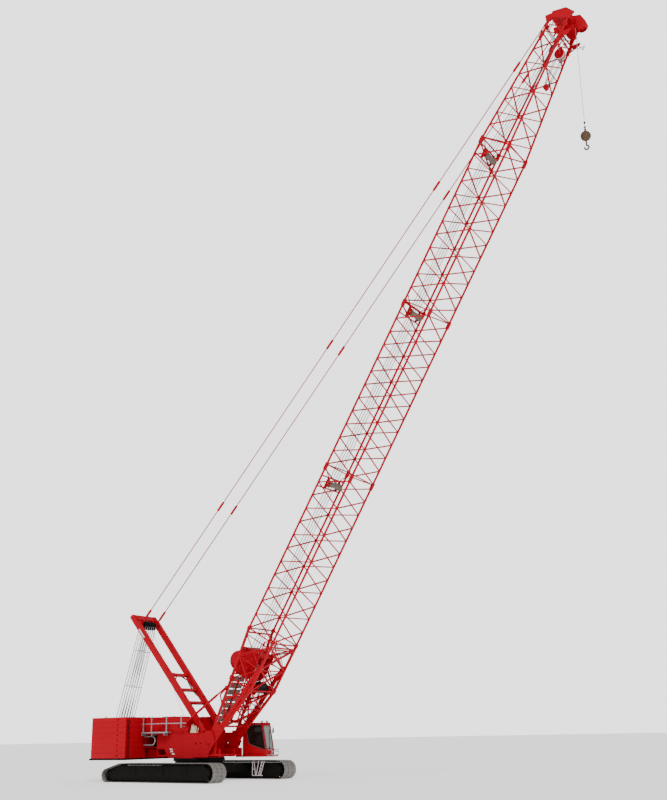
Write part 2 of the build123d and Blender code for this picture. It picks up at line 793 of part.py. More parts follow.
def boom_butt():
    """The butt above the legs: four bent chords, open at the back, with the cradle of its winches."""
    bend = leg_length + butt_bend
    near_end = leg_length + 60
    far_end = butt_length - 80
    bars = []
    for side in (-1, 1):
        for back in (-1, 1):
            points = [(leg_length - 20, *butt_point(leg_length, side, back)[1:]), butt_point(bend, side, back),
                      (butt_length + 20, *butt_point(butt_length, side, back)[1:])]
            bars.append(prism(points[0], points[1], butt_chord, 8, 22.5))
            bars.append(prism(points[1], points[2], butt_chord, 8, 22.5))
            bars.append(prism(butt_point(bend - 70, side, back), butt_point(bend, side, back), butt_chord + 14))
            bars.append(prism(butt_point(bend, side, back), butt_point(bend + 70, side, back), butt_chord + 14))
        nodes_along = [near_end, (near_end + bend) / 2, bend, (bend + far_end) / 2, far_end]
        for k, (a, b) in enumerate(zip(nodes_along, nodes_along[1:])):
            ends = (-1, 1) if k % 2 == 0 else (1, -1)
            bars.append(prism(butt_point(a, side, ends[0]), butt_point(b, side, ends[1]), butt_lace))
            bars.append(prism(butt_point(a, side * ends[0], -1), butt_point(b, side * ends[1], -1), butt_lace))
        bars.append(prism(butt_point(bend, side, -1), butt_point(bend, side, 1), butt_lace))
        lug = butt_point(stop_pin_at, side, 1)
        y0, y1 = sorted((lug[1], side * (stop_y - stop_rod_radius - clearance)))
        bars.append(disc(stop_pin_at, stop_pin_rise, y0, y1, stop_pin_radius))
        y0, y1 = sorted((side * (winch_half + clearance), side * (winch_half + clearance + winch_ear)))
        ear = plate(
            [
                (2330, -60), (2600, -140), (3300, -140), (3240, 600), (2880, 830), (2540, 830), (2330, 560),
            ],
            y0, y1,
        )
        for along, rise, radius, _ in winches:
            ear -= disc(along, rise, y0 - 1, y1 + 1, radius * 0.45 + seat_gap)
        bars.append(ear)
    for along, back in ((near_end, -1), (near_end, 1), (bend, -1), (far_end, -1), (far_end, 1)):
        bars.append(prism(butt_point(along, -1, back), butt_point(along, 1, back), butt_lace))
    inner = winch_half + clearance
    bars.append(block(3200, 3230, -inner, inner, -130, 600))
    for along in (2330, 3180):
        _, reach, rise = butt_point(along, 1, 1)
        bars.append(block(along, along + 40, -reach, reach, rise - 30, rise + 20))
    return fuse(bars) & block(leg_length, butt_length, -boom_width, boom_width, -boom_width, boom_width)


def butt_winches():
    return [winch(along, rise, radius, winch_half, flange) for along, rise, radius, flange in winches]


def guide_block(along):
    """A pair of rope guide sheaves in a bracket that spans the back of the boom."""
    z = boom_depth / 2 - lace_tube / 2 - 1
    facet = chord_tube / 2 * math.tan(math.radians(22.5))
    y = boom_width / 2 - chord_tube / 2 + (boom_depth / 2 - facet - z) - seat_gap
    parts = [block(along - 20, along + 20, -y, y, z - 40, z)]
    for middle in (-230, 200):
        for edge in (middle - 95, middle + 75):
            parts.append(plate(
                [(along - 90, z - 200), (along + 90, z - 200), (along + 60, z), (along - 60, z)], edge, edge + 20))
        parts.append(disc(along, z - 130, middle - 95, middle + 95, 20))
        for y0 in (middle - 50, middle + 14):
            parts.append(disc(along, z - 130, y0, y0 + 36, 95))
    return fuse(parts)


guide_places = [joints_along[1] - 520, joints_along[2] - 170, joints_along[3] - 320]
top_start = joints_along[-1]


def boom_top():
    return Pos(top_start, 0, 0) * lattice(
        top_length, (boom_width, boom_depth), (head_width, head_depth), 8, 90, (0, head_shift))


head_start = top_start + top_length
head_sheave_along = head_start + head_sheave_on
nose_along = head_start + nose_on
pendant_along = head_start + pendant_on


def boom_head():
    """The head: the chords run on to a cross box that carries the pendant lugs and the nose."""
    def at(points):
        return [(head_start + on, rise) for on, rise in points]

    parts = []
    out = head_width / 2
    back = head_depth / 2 + head_shift
    front = -head_depth / 2 + head_shift
    half = chord_tube / 2
    for side in (-1, 1):
        y = side * out
        y0, y1 = sorted((side * (out - half), side * (out + half)))
        for start, end, rise in ((back, back - 30, 680), (front, front + 35, 780)):
            parts.append(prism((head_start - 20, y, start), (head_start + rise, y, end), chord_tube, 8, 22.5))
            parts.append(prism((head_start - 20, y, start), (head_start + socket_length, y, start), socket_across))
        parts.append(prism((head_start + 230, y, front + 20), (head_start + 640, y, back - 40), lace_tube * 1.4))
        parts.append(plate(at([(640, 301), (862, 321), (1084, -96), (993, -461), (745, -345)]), y0, y1))
        gusset = plate(at([(0, -340), (220, -320), (420, -600), (340, -640), (0, -440)]), y - 12, y + 12)
        gusset -= disc(head_start + 130, -430, y - 13, y + 13, 26)
        parts.append(gusset)
        parts.append(disc(head_sheave_along, head_sheave_drop, y0, y1, 80))
        for offset in (-lug_slot / 2 - lug_plate, lug_slot / 2):
            y2 = side * pendant_spacing / 2 + offset
            parts.append(plate(at([(560, 285), (517, 433), (693, 560), (862, 310)]), y2, y2 + lug_plate))
    parts.append(plate(at([(20, -345), (594, -135), (714, -330)]), out - 10, out + 10))
    for rise in (back, front):
        start = head_start + socket_length / 2
        parts.append(prism((start, -out, rise), (start, out, rise), lace_tube))
    box = at([(630, 286), (850, 318), (1070, -96), (960, -330), (790, -325), (700, 90)])
    parts.append(plate(box, -out, out))
    head = fuse(parts)
    nose = plate(at([(790, -300), (1000, -240), (1090, -100), (1192, -379), (1060, -600), (700, -610)]),
                 nose_inner, nose_outer)
    nose += disc(nose_along, nose_drop, nose_inner, nose_outer, nose_radius)
    nose -= disc(head_sheave_along, head_sheave_drop, nose_inner - 1, nose_outer + 1,
                 head_sheave_radius + clearance)
    pocket = disc(nose_along, nose_drop, nose_inner + lug_plate, nose_outer - lug_plate, nose_radius - 20)
    pocket += plate(at([(nose_on - 185, nose_drop), (nose_on + 20, nose_drop), (800, -800), (620, -800)]),
                    nose_inner + lug_plate, nose_outer - lug_plate)
    nose -= pocket
    nose -= disc(nose_along, nose_drop, nose_inner - 1, nose_outer + 1, 30 + seat_gap)
    head += nose
    head -= disc(head_sheave_along, head_sheave_drop, -out - half - 1, out + half + 1, 40 + seat_gap)
    for side in (-1, 1):
        y0, y1 = sorted((side * (pendant_spacing / 2 - 45), side * (pendant_spacing / 2 + 45)))
        head -= disc(pendant_along, pendant_rise, y0, y1, 22 + seat_gap)
    return head & block(head_start, head_start + 1500, -boom_width, boom_width, -boom_width, boom_width)


def head_sheaves():
    """The head sheaves side by side on their shaft, and the nose's own sheave."""
    out = head_width / 2 + chord_tube / 2 + 12
    main = disc(head_sheave_along, head_sheave_drop, -out, out, 40)
    for k in range(5):
        y = -240 + k * 120
        main += disc(head_sheave_along, head_sheave_drop, y - 24, y + 24, head_sheave_radius)
    main += disc(head_sheave_along, head_sheave_drop, -260, 260, 70)
    middle = (nose_inner + nose_outer) / 2
    nose = disc(nose_along, nose_drop, nose_inner - 10, nose_outer + 10, 30)
    nose += disc(nose_along, nose_drop, middle - 40, middle + 40, nose_radius - 30)
    return [main, nose]


nodes["boom_leg_right"] = boom_place * boom_leg()
nodes["boom_leg_left"] = boom_place * mirror_y(boom_leg())
nodes["boom_butt"] = boom_place * boom_butt()
nodes["butt_winches"] = [boom_place * piece for piece in butt_winches()]
nodes["rope_guides"] = [boom_place * guide_block(along) for along in guide_places]
insert = lattice(insert_length, (boom_width, boom_depth), (boom_width, boom_depth), lace_bays, 90)
for k in range(insert_count):
    nodes[f"boom_insert_{k + 1}"] = boom_place * Pos(joints_along[k], 0, 0) * insert
nodes["boom_top"] = boom_place * boom_top()
nodes["boom_head"] = boom_place * boom_head()
nodes["head_sheaves"] = [boom_place * piece for piece in head_sheaves()]


# ---- mast ----------------------------------------------------------------------
mast_place = Pos(mast_x, 0, mast_z) * Rot(0, -mast_angle, 0)


mast_pin_along = mast_length - mast_pin_back
mast_crosses = [                                  # share of the mast's length, width and depth of each cross member
    (0.23, 90, 90),
    (0.34, 90, 90),
    (0.47, 90, 90),
]


def mast_frame():
    """Two box beams that spread from the feet to the head, with cross members between them."""
    parts = []
    half_depth = mast_beam_depth / 2
    half_width = mast_beam_width / 2
    foot = mast_foot_spacing / 2
    head = mast_head_spacing / 2
    plate_start = mast_length - 200
    for side in (-1, 1):
        outline = make_face(Polyline(
            (0, side * (foot - half_width)), (0, side * (foot + half_width)),
            (mast_length, side * (head + half_width)), (mast_length, side * (head - half_width)),
            close=True))
        beam = extrude(outline, amount=half_depth, both=True)
        taper = plate([(-200, half_depth + 5), (-200, -half_depth - 5), (260, -half_depth - 5), (0, -60), (-60, 0),
                       (0, 60), (260, half_depth + 5)], -900, 900)
        beam -= taper
        y0, y1 = sorted((side * (foot - half_width), side * (foot + half_width)))
        beam += disc(0, 0, y0, y1, 62)
        beam += disc(0, 0, y0 - 34, y1 + 34, pin_radius)
        parts.append(beam)
        for offset in (-lug_slot / 2 - lug_plate, lug_slot / 2):
            y = side * pendant_spacing / 2 + offset
            parts.append(plate(
                [
                    (plate_start + 20, -half_depth), (mast_pin_along - 55, -60), (mast_pin_along - 55, 60),
                    (plate_start + 20, half_depth),
                ],
                y, y + lug_plate,
            ))
    for share, width, depth in mast_crosses:
        along = mast_length * share
        half = foot + (head - foot) * share
        parts.append(block(along - width / 2, along + width / 2, -half, half, -depth / 2, depth / 2))
    parts.append(block(plate_start, mast_length, -head, head, -half_depth + 10, half_depth - 10))
    frame = fuse(parts)
    inner = pendant_spacing / 2 - lug_slot / 2
    return frame - disc(mast_pin_along, 0, -inner, inner, mast_shaft + seat_gap)


def mast_sheaves():
    """The sheave cluster of the mast head on a shaft between the inner lugs."""
    reach = pendant_spacing / 2 - lug_slot / 2
    body = disc(mast_pin_along, 0, -reach, reach, mast_shaft)
    for k in range(6):
        y = -275 + k * 110
        body += disc(mast_pin_along, 0, y - 24, y + 24, 150)
    return body


nodes["mast_frame"] = mast_place * mast_frame()
nodes["mast_sheaves"] = mast_place * mast_sheaves()


# ---- pendants ------------------------------------------------------------------
def at_boom(along, rise):
    """A point of the boom's side view in X and Z."""
    angle = math.radians(boom_angle)
    return (foot_x + along * math.cos(angle) - rise * math.sin(angle),
            foot_z + along * math.sin(angle) + rise * math.cos(angle))


def at_mast(along, rise):
    angle = math.radians(mast_angle)
    return (mast_x + along * math.cos(angle) - rise * math.sin(angle),
            mast_z + along * math.sin(angle) + rise * math.cos(angle))


boom_end = at_boom(pendant_along, pendant_rise)
mast_end = at_mast(mast_pin_along, 0)
pendant_length = math.hypot(boom_end[0] - mast_end[0], boom_end[1] - mast_end[1])
pendant_angle = math.degrees(math.atan2(mast_end[1] - boom_end[1], mast_end[0] - boom_end[0]))
pendant_place = Pos(boom_end[0], 0, boom_end[1]) * Rot(0, -pendant_angle, 0)
link_places = [1900, 6700, 13300, 20300, pendant_length - mast_link]      # along it from the boom head


def pendant(side):
    """One pendant stay: a bar between two eye plates, with link plates where its lengths meet."""
    y = side * pendant_spacing / 2
    eye = 20
    body = prism((260, y, 0), (pendant_length - 260, y, 0), pendant_bar, 6, 0)
    for centre in (0, pendant_length):
        body += disc(centre, 0, y - eye / 2, y + eye / 2, 44)
    for x0, x1 in ((0, 300), (pendant_length - 300, pendant_length)):
        body += plate([(x0, -30), (x1, -30), (x1, 30), (x0, 30)], y - eye / 2, y + eye / 2)
    body += disc(0, 0, y - lug_slot / 2 - lug_plate, y + lug_slot / 2 + lug_plate, 22)
    for along in link_places:
        body += block(along - link_half, along + link_half, y - 26, y + 26, -34, 34)
    return body


nodes["pendant_right"] = pendant_place * pendant(-1)
nodes["pendant_left"] = pendant_place * pendant(1)


# ---- boom stops ------------------------------------------------------------------
stop_end = at_boom(stop_pin_at, stop_pin_rise)
stop_length = math.hypot(stop_end[0] - stop_x, stop_end[1] - stop_z)
stop_angle = math.degrees(math.atan2(stop_end[1] - stop_z, stop_end[0] - stop_x))
stop_place = Pos(stop_x, 0, stop_z) * Rot(0, -stop_angle, 0)
stop_tube_end = stop_length - stop_in - stop_eye - 25
stop_rod_start = stop_in + stop_foot + 30


def bar_x(x0, x1, y, radius):
    """A round bar along X."""
    return Pos((x0 + x1) / 2, y, 0) * Rot(0, 90, 0) * Cylinder(radius, x1 - x0)


def stop_tube(side):
    y = side * stop_y
    body = bar_x(60, stop_tube_end, y, stop_tube_radius)
    body -= bar_x(stop_foot, stop_tube_end + 1, y, stop_rod_radius + seat_gap)
    body += disc(0, 0, y - 20, y + 20, 50)
    body += block(0, 80, y - 20, y + 20, -30, 30)
    return body - disc(0, 0, y - 21, y + 21, 22)


def stop_rod(side):
    y = side * stop_y
    body = bar_x(stop_rod_start, stop_length - stop_eye + 8, y, stop_rod_radius)
    return body + disc(stop_length, 0, y - 20, y + 20, stop_eye)


def stop_lugs():
    """Pins on the hoods that the stops turn on."""
    lugs = []
    for side in (-1, 1):
        y0, y1 = sorted((side * bed_half, side * (stop_y - 20 - 1)))
        lug = disc(stop_x, stop_z, y0, y1, 60)
        y0, y1 = sorted((side * bed_half, side * (stop_y + 34)))
        lug += disc(stop_x, stop_z, y0, y1, 20)
        lugs.append(lug)
    return lugs


nodes["stop_tubes"] = [stop_place * stop_tube(side) for side in (-1, 1)]
nodes["stop_rods"] = [stop_place * stop_rod(side) for side in (-1, 1)]
nodes["stop_lugs"] = stop_lugs()


# ---- whip line and hook -----------------------------------------------------------
sheave_at = at_boom(head_sheave_along, head_sheave_drop)
whip_x = sheave_at[0] + head_sheave_radius + rope_radius + seat_gap
whip_z = sheave_at[1]
ball_z = whip_z - whip_drop


def whip_line():
    return prism((whip_x, 0, ball_z + ball_radius + 90), (whip_x, 0, whip_z), rope_radius * 2, 8, 22.5) + \
        Pos(whip_x, 0, ball_z + ball_radius + 130) * Cylinder(22, 80)


def hook_ball():
    ball = Pos(whip_x, 0, ball_z) * Sphere(ball_radius)
    neck = 90 - seat_gap
    ball += Pos(whip_x, 0, ball_z + ball_radius + neck / 2) * Cylinder(34, neck)
    ball += Pos(whip_x, 0, ball_z + ball_radius - 10) * Cylinder(34, 30)
    ball += Pos(whip_x, 0, ball_z - ball_radius - 40) * Cylinder(26, 120)
    return ball


def hook():
    """The hook: a bent bar round its throat, with a shank."""
    centre = ball_z - ball_radius - 250
    reach = 70
    bar = 26
    arc = CenterArc((0, 0), reach, -200, 290)
    ring = sweep(Plane(arc @ 0, z_dir=arc % 0) * Circle(bar), path=arc)
    ring = Pos(whip_x, 0, centre) * Rot(90, 0, 0) * ring
    shank_low = centre + reach
    shank = Pos(whip_x, 0, (shank_low + ball_z - ball_radius - 100) / 2) * \
        Cylinder(bar, ball_z - ball_radius - 100 - shank_low)
    return ring + shank


nodes["whip_line"] = whip_line()
nodes["hook_ball"] = hook_ball()
nodes["hook"] = hook()


# ---- writing -------------------------------------------------------------------------
def as_compound(shape):
    if isinstance(shape, list):
        return Compound(children=[solid for piece in shape for solid in piece.solids()])
    return shape


def whole_box():
    low = [1e9] * 3
    high = [-1e9] * 3
    for shape in nodes.values():
        box = as_compound(shape).bounding_box()
        for axis, (a, b) in enumerate(zip(box.min, box.max)):
            low[axis] = min(low[axis], a)
            high[axis] = max(high[axis], b)
    return low, high


lowest, highest = whole_box()
shift = (-(lowest[0] + highest[0]) / 2, -(lowest[1] + highest[1]) / 2, -lowest[2])
os.makedirs("parts", exist_ok=True)
for name, shape in nodes.items():
    export_step(Pos(*shift) * as_compound(shape), f"parts/{name}.step")
print("box", [round(b - a) for a, b in zip(lowest, highest)], "shift", [round(v, 3) for v in shift])
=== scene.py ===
import json
import math
import bpy
import bmesh
from mathutils import Matrix, Vector


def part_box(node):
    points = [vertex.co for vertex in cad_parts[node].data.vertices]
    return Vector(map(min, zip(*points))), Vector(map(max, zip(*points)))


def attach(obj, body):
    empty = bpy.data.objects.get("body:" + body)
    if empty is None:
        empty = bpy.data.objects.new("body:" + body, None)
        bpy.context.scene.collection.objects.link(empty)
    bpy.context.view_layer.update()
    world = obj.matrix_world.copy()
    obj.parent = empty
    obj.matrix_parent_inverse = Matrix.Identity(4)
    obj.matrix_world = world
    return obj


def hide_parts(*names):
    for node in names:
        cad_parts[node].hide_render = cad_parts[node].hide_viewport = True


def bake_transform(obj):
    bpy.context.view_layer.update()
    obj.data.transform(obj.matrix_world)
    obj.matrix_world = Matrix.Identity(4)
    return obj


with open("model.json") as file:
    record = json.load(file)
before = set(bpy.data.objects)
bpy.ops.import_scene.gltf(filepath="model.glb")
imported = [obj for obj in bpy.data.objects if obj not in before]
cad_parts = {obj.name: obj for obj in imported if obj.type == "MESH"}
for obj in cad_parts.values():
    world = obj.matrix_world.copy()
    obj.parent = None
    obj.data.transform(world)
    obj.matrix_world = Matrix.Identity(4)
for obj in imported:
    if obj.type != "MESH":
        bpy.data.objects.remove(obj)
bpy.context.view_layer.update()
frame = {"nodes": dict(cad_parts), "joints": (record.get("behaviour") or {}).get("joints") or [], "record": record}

joints = {joint["name"]: joint for joint in frame["joints"]}
slewAt = Vector(joints["slew"]["pos_m"])
boomFoot = Vector(joints["boom_luff"]["pos_m"])
mastFoot = Vector(joints["mast_luff"]["pos_m"])


# frames of reference: each body is drawn along its own length
machine = {
    "boomAngle": 58.9,
    "mastAngle": 129.06,
    "swingAngle": -6.6,
}


def leaning(origin, degrees):
    return Matrix.Translation(origin) @ Matrix.Rotation(-math.radians(degrees), 4, "Y")


boomFrame = leaning(boomFoot, machine["boomAngle"])
mastFrame = leaning(mastFoot, machine["mastAngle"])
bedFrame = Matrix.Translation((slewAt.x, slewAt.y, 0))
trackFrame = bedFrame @ Matrix.Rotation(math.radians(machine["swingAngle"]), 4, "Z")


# drawing tools
def fullTurn(sides):
    return [2 * math.pi * k / sides for k in range(sides)]


class Maker:

    def __init__(self, place=Matrix.Identity(4)):
        self.bm = bmesh.new()
        self.place = place

    def quadStrip(self, rings, caps=True):
        rows = [[self.bm.verts.new(self.place @ Vector(p)) for p in ring] for ring in rings]
        count = len(rows[0])
        for a, b in zip(rows, rows[1:]):
            for i in range(count):
                j = (i + 1) % count
                self.bm.faces.new((a[i], a[j], b[j], b[i]))
        if caps:
            self.bm.faces.new(list(reversed(rows[0])))
            self.bm.faces.new(rows[-1])

    def box(self, x0, x1, y0, y1, z0, z1):
        y0, y1 = sorted((y0, y1))
        self.quadStrip([[(x0, y0, z), (x1, y0, z), (x1, y1, z), (x0, y1, z)] for z in (z0, z1)])

    def plate(self, outline, y0, y1):
        y0, y1 = sorted((y0, y1))
        self.quadStrip([[(x, y, z) for x, z in outline] for y in (y1, y0)])

    def tube(self, points, radius, sides=8):
        points = [Vector(p) for p in points]
        rings = []
        side = None
        for i, p in enumerate(points):
            before = points[max(i - 1, 0)]
            after = points[min(i + 1, len(points) - 1)]
            run = (after - before).normalized()
            if side is None:
                side = run.orthogonal().normalized()
            side = (side - run * side.dot(run)).normalized()
            up = run.cross(side)
            bend = 1.0
            if 0 < i < len(points) - 1:
                turn = (p - before).angle(after - p) / 2
                bend = 1 / max(math.cos(turn), 0.5)
            reach = radius * (bend if bend < 1.3 else 1.0)      # a mitre keeps gentle bends round
            rings.append([p + (side * math.cos(a) + up * math.sin(a)) * reach for a in fullTurn(sides)])
        self.quadStrip(rings)

    def rope(self, a, b, steps, radius):
        self.tube([a.lerp(b, i / steps) for i in range(steps + 1)], radius, 6)

    def frame(self, outer, inner, y0, y1):
        rows = [[(x, y, z) for x, z in outline] for outline, y in
                ((inner, y1), (outer, y1), (outer, y0), (inner, y0), (inner, y1))]
        self.quadStrip(rows, caps=False)

    def lathe(self, x, z, profile, sides=28):
        if profile[0][0] < profile[-1][0]:
            profile = profile[::-1]
        self.quadStrip([[(x + r * math.cos(a), y, z + r * math.sin(a)) for a in fullTurn(sides)]
                        for y, r in profile])

    def disc(self, x, z, y0, y1, radius, sides=28):
        self.lathe(x, z, [(y0, radius), (y1, radius)], sides)

    def shaft(self, x, z, y0, y1, radius, sides, core=0.004):
        self.lathe(x, z, [(y0, core), (y0, radius), (y1, radius), (y1, core)], sides)

    def done(self, name, material, smooth=35, bevel=0.0):
        bmesh.ops.remove_doubles(self.bm, verts=self.bm.verts, dist=1e-6)
        bmesh.ops.recalc_face_normals(self.bm, faces=self.bm.faces)
        mesh = bpy.data.meshes.new(name)
        self.bm.to_mesh(mesh)
        self.bm.free()
        piece = bpy.data.objects.new(name, mesh)
        bpy.context.scene.collection.objects.link(piece)
        mesh.materials.append(material)
        for face in mesh.polygons:
            face.use_smooth = True
        mesh.set_sharp_from_angle(angle=math.radians(smooth))
        if bevel:
            cut = piece.modifiers.new("softEdge", "BEVEL")
            cut.width = bevel
            cut.segments = 2
            cut.limit_method = "ANGLE"
            cut.angle_limit = math.radians(40)
            cut.harden_normals = True
        return piece


def settle(piece, body, slot, *nodes):
    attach(piece, body)
    if nodes:
        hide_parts(*nodes)
    return piece


# shader groups
def newGroup(name, inputs, outputs):
    group = bpy.data.node_groups.new(name, "ShaderNodeTree")
    for label, kind, value in inputs:
        socket = group.interface.new_socket(label, in_out="INPUT", socket_type=kind)
        socket.default_value = value
    for label, kind in outputs:
        group.interface.new_socket(label, in_out="OUTPUT", socket_type=kind)
    start = group.nodes.new("NodeGroupInput")
    end = group.nodes.new("NodeGroupOutput")
    return group, start, end


def noiseNode(tree, coords, scale, detail=4.0, rough=0.55):
    noise = tree.nodes.new("ShaderNodeTexNoise")
    noise.inputs["Scale"].default_value = scale
    noise.inputs["Detail"].default_value = detail
    noise.inputs["Roughness"].default_value = rough
    tree.links.new(coords, noise.inputs["Vector"])
    return noise


def rangeNode(tree, value, low, high, outLow=0.0, outHigh=1.0):
    node = tree.nodes.new("ShaderNodeMapRange")
    node.inputs["From Min"].default_value = low
    node.inputs["From Max"].default_value = high
    node.inputs["To Min"].default_value = outLow
    node.inputs["To Max"].default_value = outHigh
    tree.links.new(value, node.inputs["Value"])
    return node.outputs["Result"]


def mathNode(tree, kind, a, b):
    node = tree.nodes.new("ShaderNodeMath")
    node.operation = kind
    node.use_clamp = kind in ("MULTIPLY", "ADD")
    for socket, value in zip(node.inputs, (a, b)):
        if isinstance(value, (int, float)):
            socket.default_value = value
        else:
            tree.links.new(value, socket)
    return node.outputs["Value"]


def mixColors(tree, factor, a, b):
    node = tree.nodes.new("ShaderNodeMix")
    node.data_type = "RGBA"
    sockets = (node.inputs["Factor"], node.inputs[6], node.inputs[7])
    for socket, value in zip(sockets, (factor, a, b)):
        if isinstance(value, (int, float, tuple)):
            socket.default_value = value
        else:
            tree.links.new(value, socket)
    return node.outputs[2]


def objectCoords(tree):
    return tree.nodes.new("ShaderNodeTexCoord").outputs["Object"]


def edgeMask(tree, radius, low, high):
    # one along sharp edges, zero on flat faces
    geometry = tree.nodes.new("ShaderNodeNewGeometry")
    bevel = tree.nodes.new("ShaderNodeBevel")
    bevel.samples = 3
    bevel.inputs["Radius"].default_value = radius
    dot = tree.nodes.new("ShaderNodeVectorMath")
    dot.operation = "DOT_PRODUCT"
    tree.links.new(bevel.outputs["Normal"], dot.inputs[0])
    tree.links.new(geometry.outputs["Normal"], dot.inputs[1])
    return rangeNode(tree, dot.outputs["Value"], low, high)


def heightOf(tree, vector):
    split = tree.nodes.new("ShaderNodeSeparateXYZ")
    tree.links.new(vector, split.inputs["Vector"])
    return split.outputs["Z"]


agingLook = {
    "broadScale": 0.9, "fineScale": 26.0, "runScale": 3.0, "runStretch": (7.0, 7.0, 0.8), "chipScale": 38.0,
    "peelScale": 120.0, "dust": (0.42, 0.36, 0.3, 1), "dustTop": 1.5, "dustBottom": 0.1, "edge": 0.007,
    "dustRoughness": 0.45, "wearRoughness": 0.25,
}


def makeAgingGroup():
    group, start, end = newGroup(
        "paintAging",
        [("Color", "NodeSocketColor", (0.5, 0.5, 0.5, 1)), ("Faded", "NodeSocketColor", (0.6, 0.5, 0.5, 1)),
         ("Bare", "NodeSocketColor", (0.2, 0.18, 0.17, 1)), ("Fading", "NodeSocketFloat", 0.3),
         ("Dust", "NodeSocketFloat", 0.3), ("Wear", "NodeSocketFloat", 0.3),
         ("Gloss", "NodeSocketFloat", 0.3)],
        [("Color", "NodeSocketColor"), ("Roughness", "NodeSocketFloat"), ("Height", "NodeSocketFloat")])
    look = agingLook
    given = start.outputs
    coords = objectCoords(group)
    broad = noiseNode(group, coords, look["broadScale"], 5.0).outputs["Fac"]
    fine = noiseNode(group, coords, look["fineScale"], 6.0).outputs["Fac"]
    streaks = group.nodes.new("ShaderNodeMapping")
    streaks.inputs["Scale"].default_value = look["runStretch"]
    group.links.new(coords, streaks.inputs["Vector"])
    runs = noiseNode(group, streaks.outputs["Vector"], look["runScale"], 5.0).outputs["Fac"]
    fading = mathNode(group, "MULTIPLY", rangeNode(group, broad, 0.38, 0.72), given["Fading"])
    streaky = mathNode(group, "MULTIPLY", rangeNode(group, runs, 0.45, 0.75), fading)
    color = mixColors(group, fading, given["Color"], given["Faded"])
    color = mixColors(group, streaky, color, given["Faded"])
    # dust settles on what faces up and on what is near the ground
    facing = group.nodes.new("ShaderNodeNewGeometry").outputs["Normal"]
    upward = rangeNode(group, heightOf(group, facing), 0.55, 1.0)
    low = rangeNode(group, heightOf(group, coords), look["dustTop"], look["dustBottom"])
    dustMask = mathNode(group, "MAXIMUM", upward, low)
    dustMask = mathNode(group, "MULTIPLY", dustMask, rangeNode(group, fine, 0.35, 0.8, 0.25, 1.0))
    dustMask = mathNode(group, "MULTIPLY", dustMask, given["Dust"])
    color = mixColors(group, dustMask, color, look["dust"])
    chips = rangeNode(group, noiseNode(group, coords, look["chipScale"], 5.0).outputs["Fac"], 0.5, 0.62)
    worn = mathNode(group, "MULTIPLY", edgeMask(group, look["edge"], 0.97, 0.8), chips)
    worn = mathNode(group, "MULTIPLY", worn, given["Wear"])
    color = mixColors(group, worn, color, given["Bare"])
    rough = mathNode(group, "ADD", given["Gloss"],
                     mathNode(group, "MULTIPLY", dustMask, look["dustRoughness"]))
    rough = mathNode(group, "ADD", rough, mathNode(group, "MULTIPLY", worn, look["wearRoughness"]))
    rough = mathNode(group, "ADD", rough, rangeNode(group, fine, 0.3, 0.8, 0.0, 0.06))
    group.links.new(color, end.inputs["Color"])
    group.links.new(rough, end.inputs["Roughness"])
    group.links.new(noiseNode(group, coords, look["peelScale"], 2.0).outputs["Fac"], end.inputs["Height"])
    return group


castLook = {"patchScale": 5.0, "pit": (0.02, 0.018, 0.016, 1), "pitting": 0.45, "edge": 0.006,
            "polish": 0.3}


def makeCastGroup():
    group, start, end = newGroup(
        "castMottle",
        [("Color", "NodeSocketColor", (0.2, 0.2, 0.2, 1)),
         ("Stain", "NodeSocketColor", (0.2, 0.1, 0.05, 1)),
         ("Rubbed", "NodeSocketColor", (0.5, 0.48, 0.45, 1)), ("Staining", "NodeSocketFloat", 0.5),
         ("Rubbing", "NodeSocketFloat", 0.4), ("Grain", "NodeSocketFloat", 30.0)],
        [("Color", "NodeSocketColor"), ("Roughness", "NodeSocketFloat"), ("Height", "NodeSocketFloat")])
    look = castLook
    given = start.outputs
    coords = objectCoords(group)
    patches = noiseNode(group, coords, look["patchScale"], 6.0, 0.65).outputs["Fac"]
    grainNoise = noiseNode(group, coords, 30.0, 6.0, 0.6)
    group.links.new(given["Grain"], grainNoise.inputs["Scale"])
    grain = grainNoise.outputs["Fac"]
    stain = mathNode(group, "MULTIPLY", rangeNode(group, patches, 0.36, 0.68), given["Staining"])
    color = mixColors(group, stain, given["Color"], given["Stain"])
    color = mixColors(group, rangeNode(group, grain, 0.3, 0.75, 0.0, look["pitting"]), color, look["pit"])
    edge = mathNode(group, "MULTIPLY", edgeMask(group, look["edge"], 0.98, 0.85), given["Rubbing"])
    edge = mathNode(group, "MULTIPLY", edge, rangeNode(group, patches, 0.3, 0.6, 0.3, 1.0))
    color = mixColors(group, edge, color, given["Rubbed"])
    rough = mathNode(group, "SUBTRACT", rangeNode(group, grain, 0.2, 0.8, 0.55, 0.85),
                     mathNode(group, "MULTIPLY", edge, look["polish"]))
    group.links.new(color, end.inputs["Color"])
    group.links.new(rough, end.inputs["Roughness"])
    group.links.new(grain, end.inputs["Height"])
    return group


agingGroup = makeAgingGroup()
castGroup = makeCastGroup()


def newMaterial(name):
    material = bpy.data.materials.new(name)
    material.use_nodes = True
    tree = material.node_tree
    return material, tree, tree.nodes["Principled BSDF"]


def addRelief(tree, shader, height, strength, distance):
    relief = tree.nodes.new("ShaderNodeBump")
    relief.inputs["Strength"].default_value = strength
    relief.inputs["Distance"].default_value = distance
    tree.links.new(height, relief.inputs["Height"])
    tree.links.new(relief.outputs["Normal"], shader.inputs["Normal"])


def scaled(color, share):
    return tuple(min(c * share, 1) for c in color[:3]) + (1,)


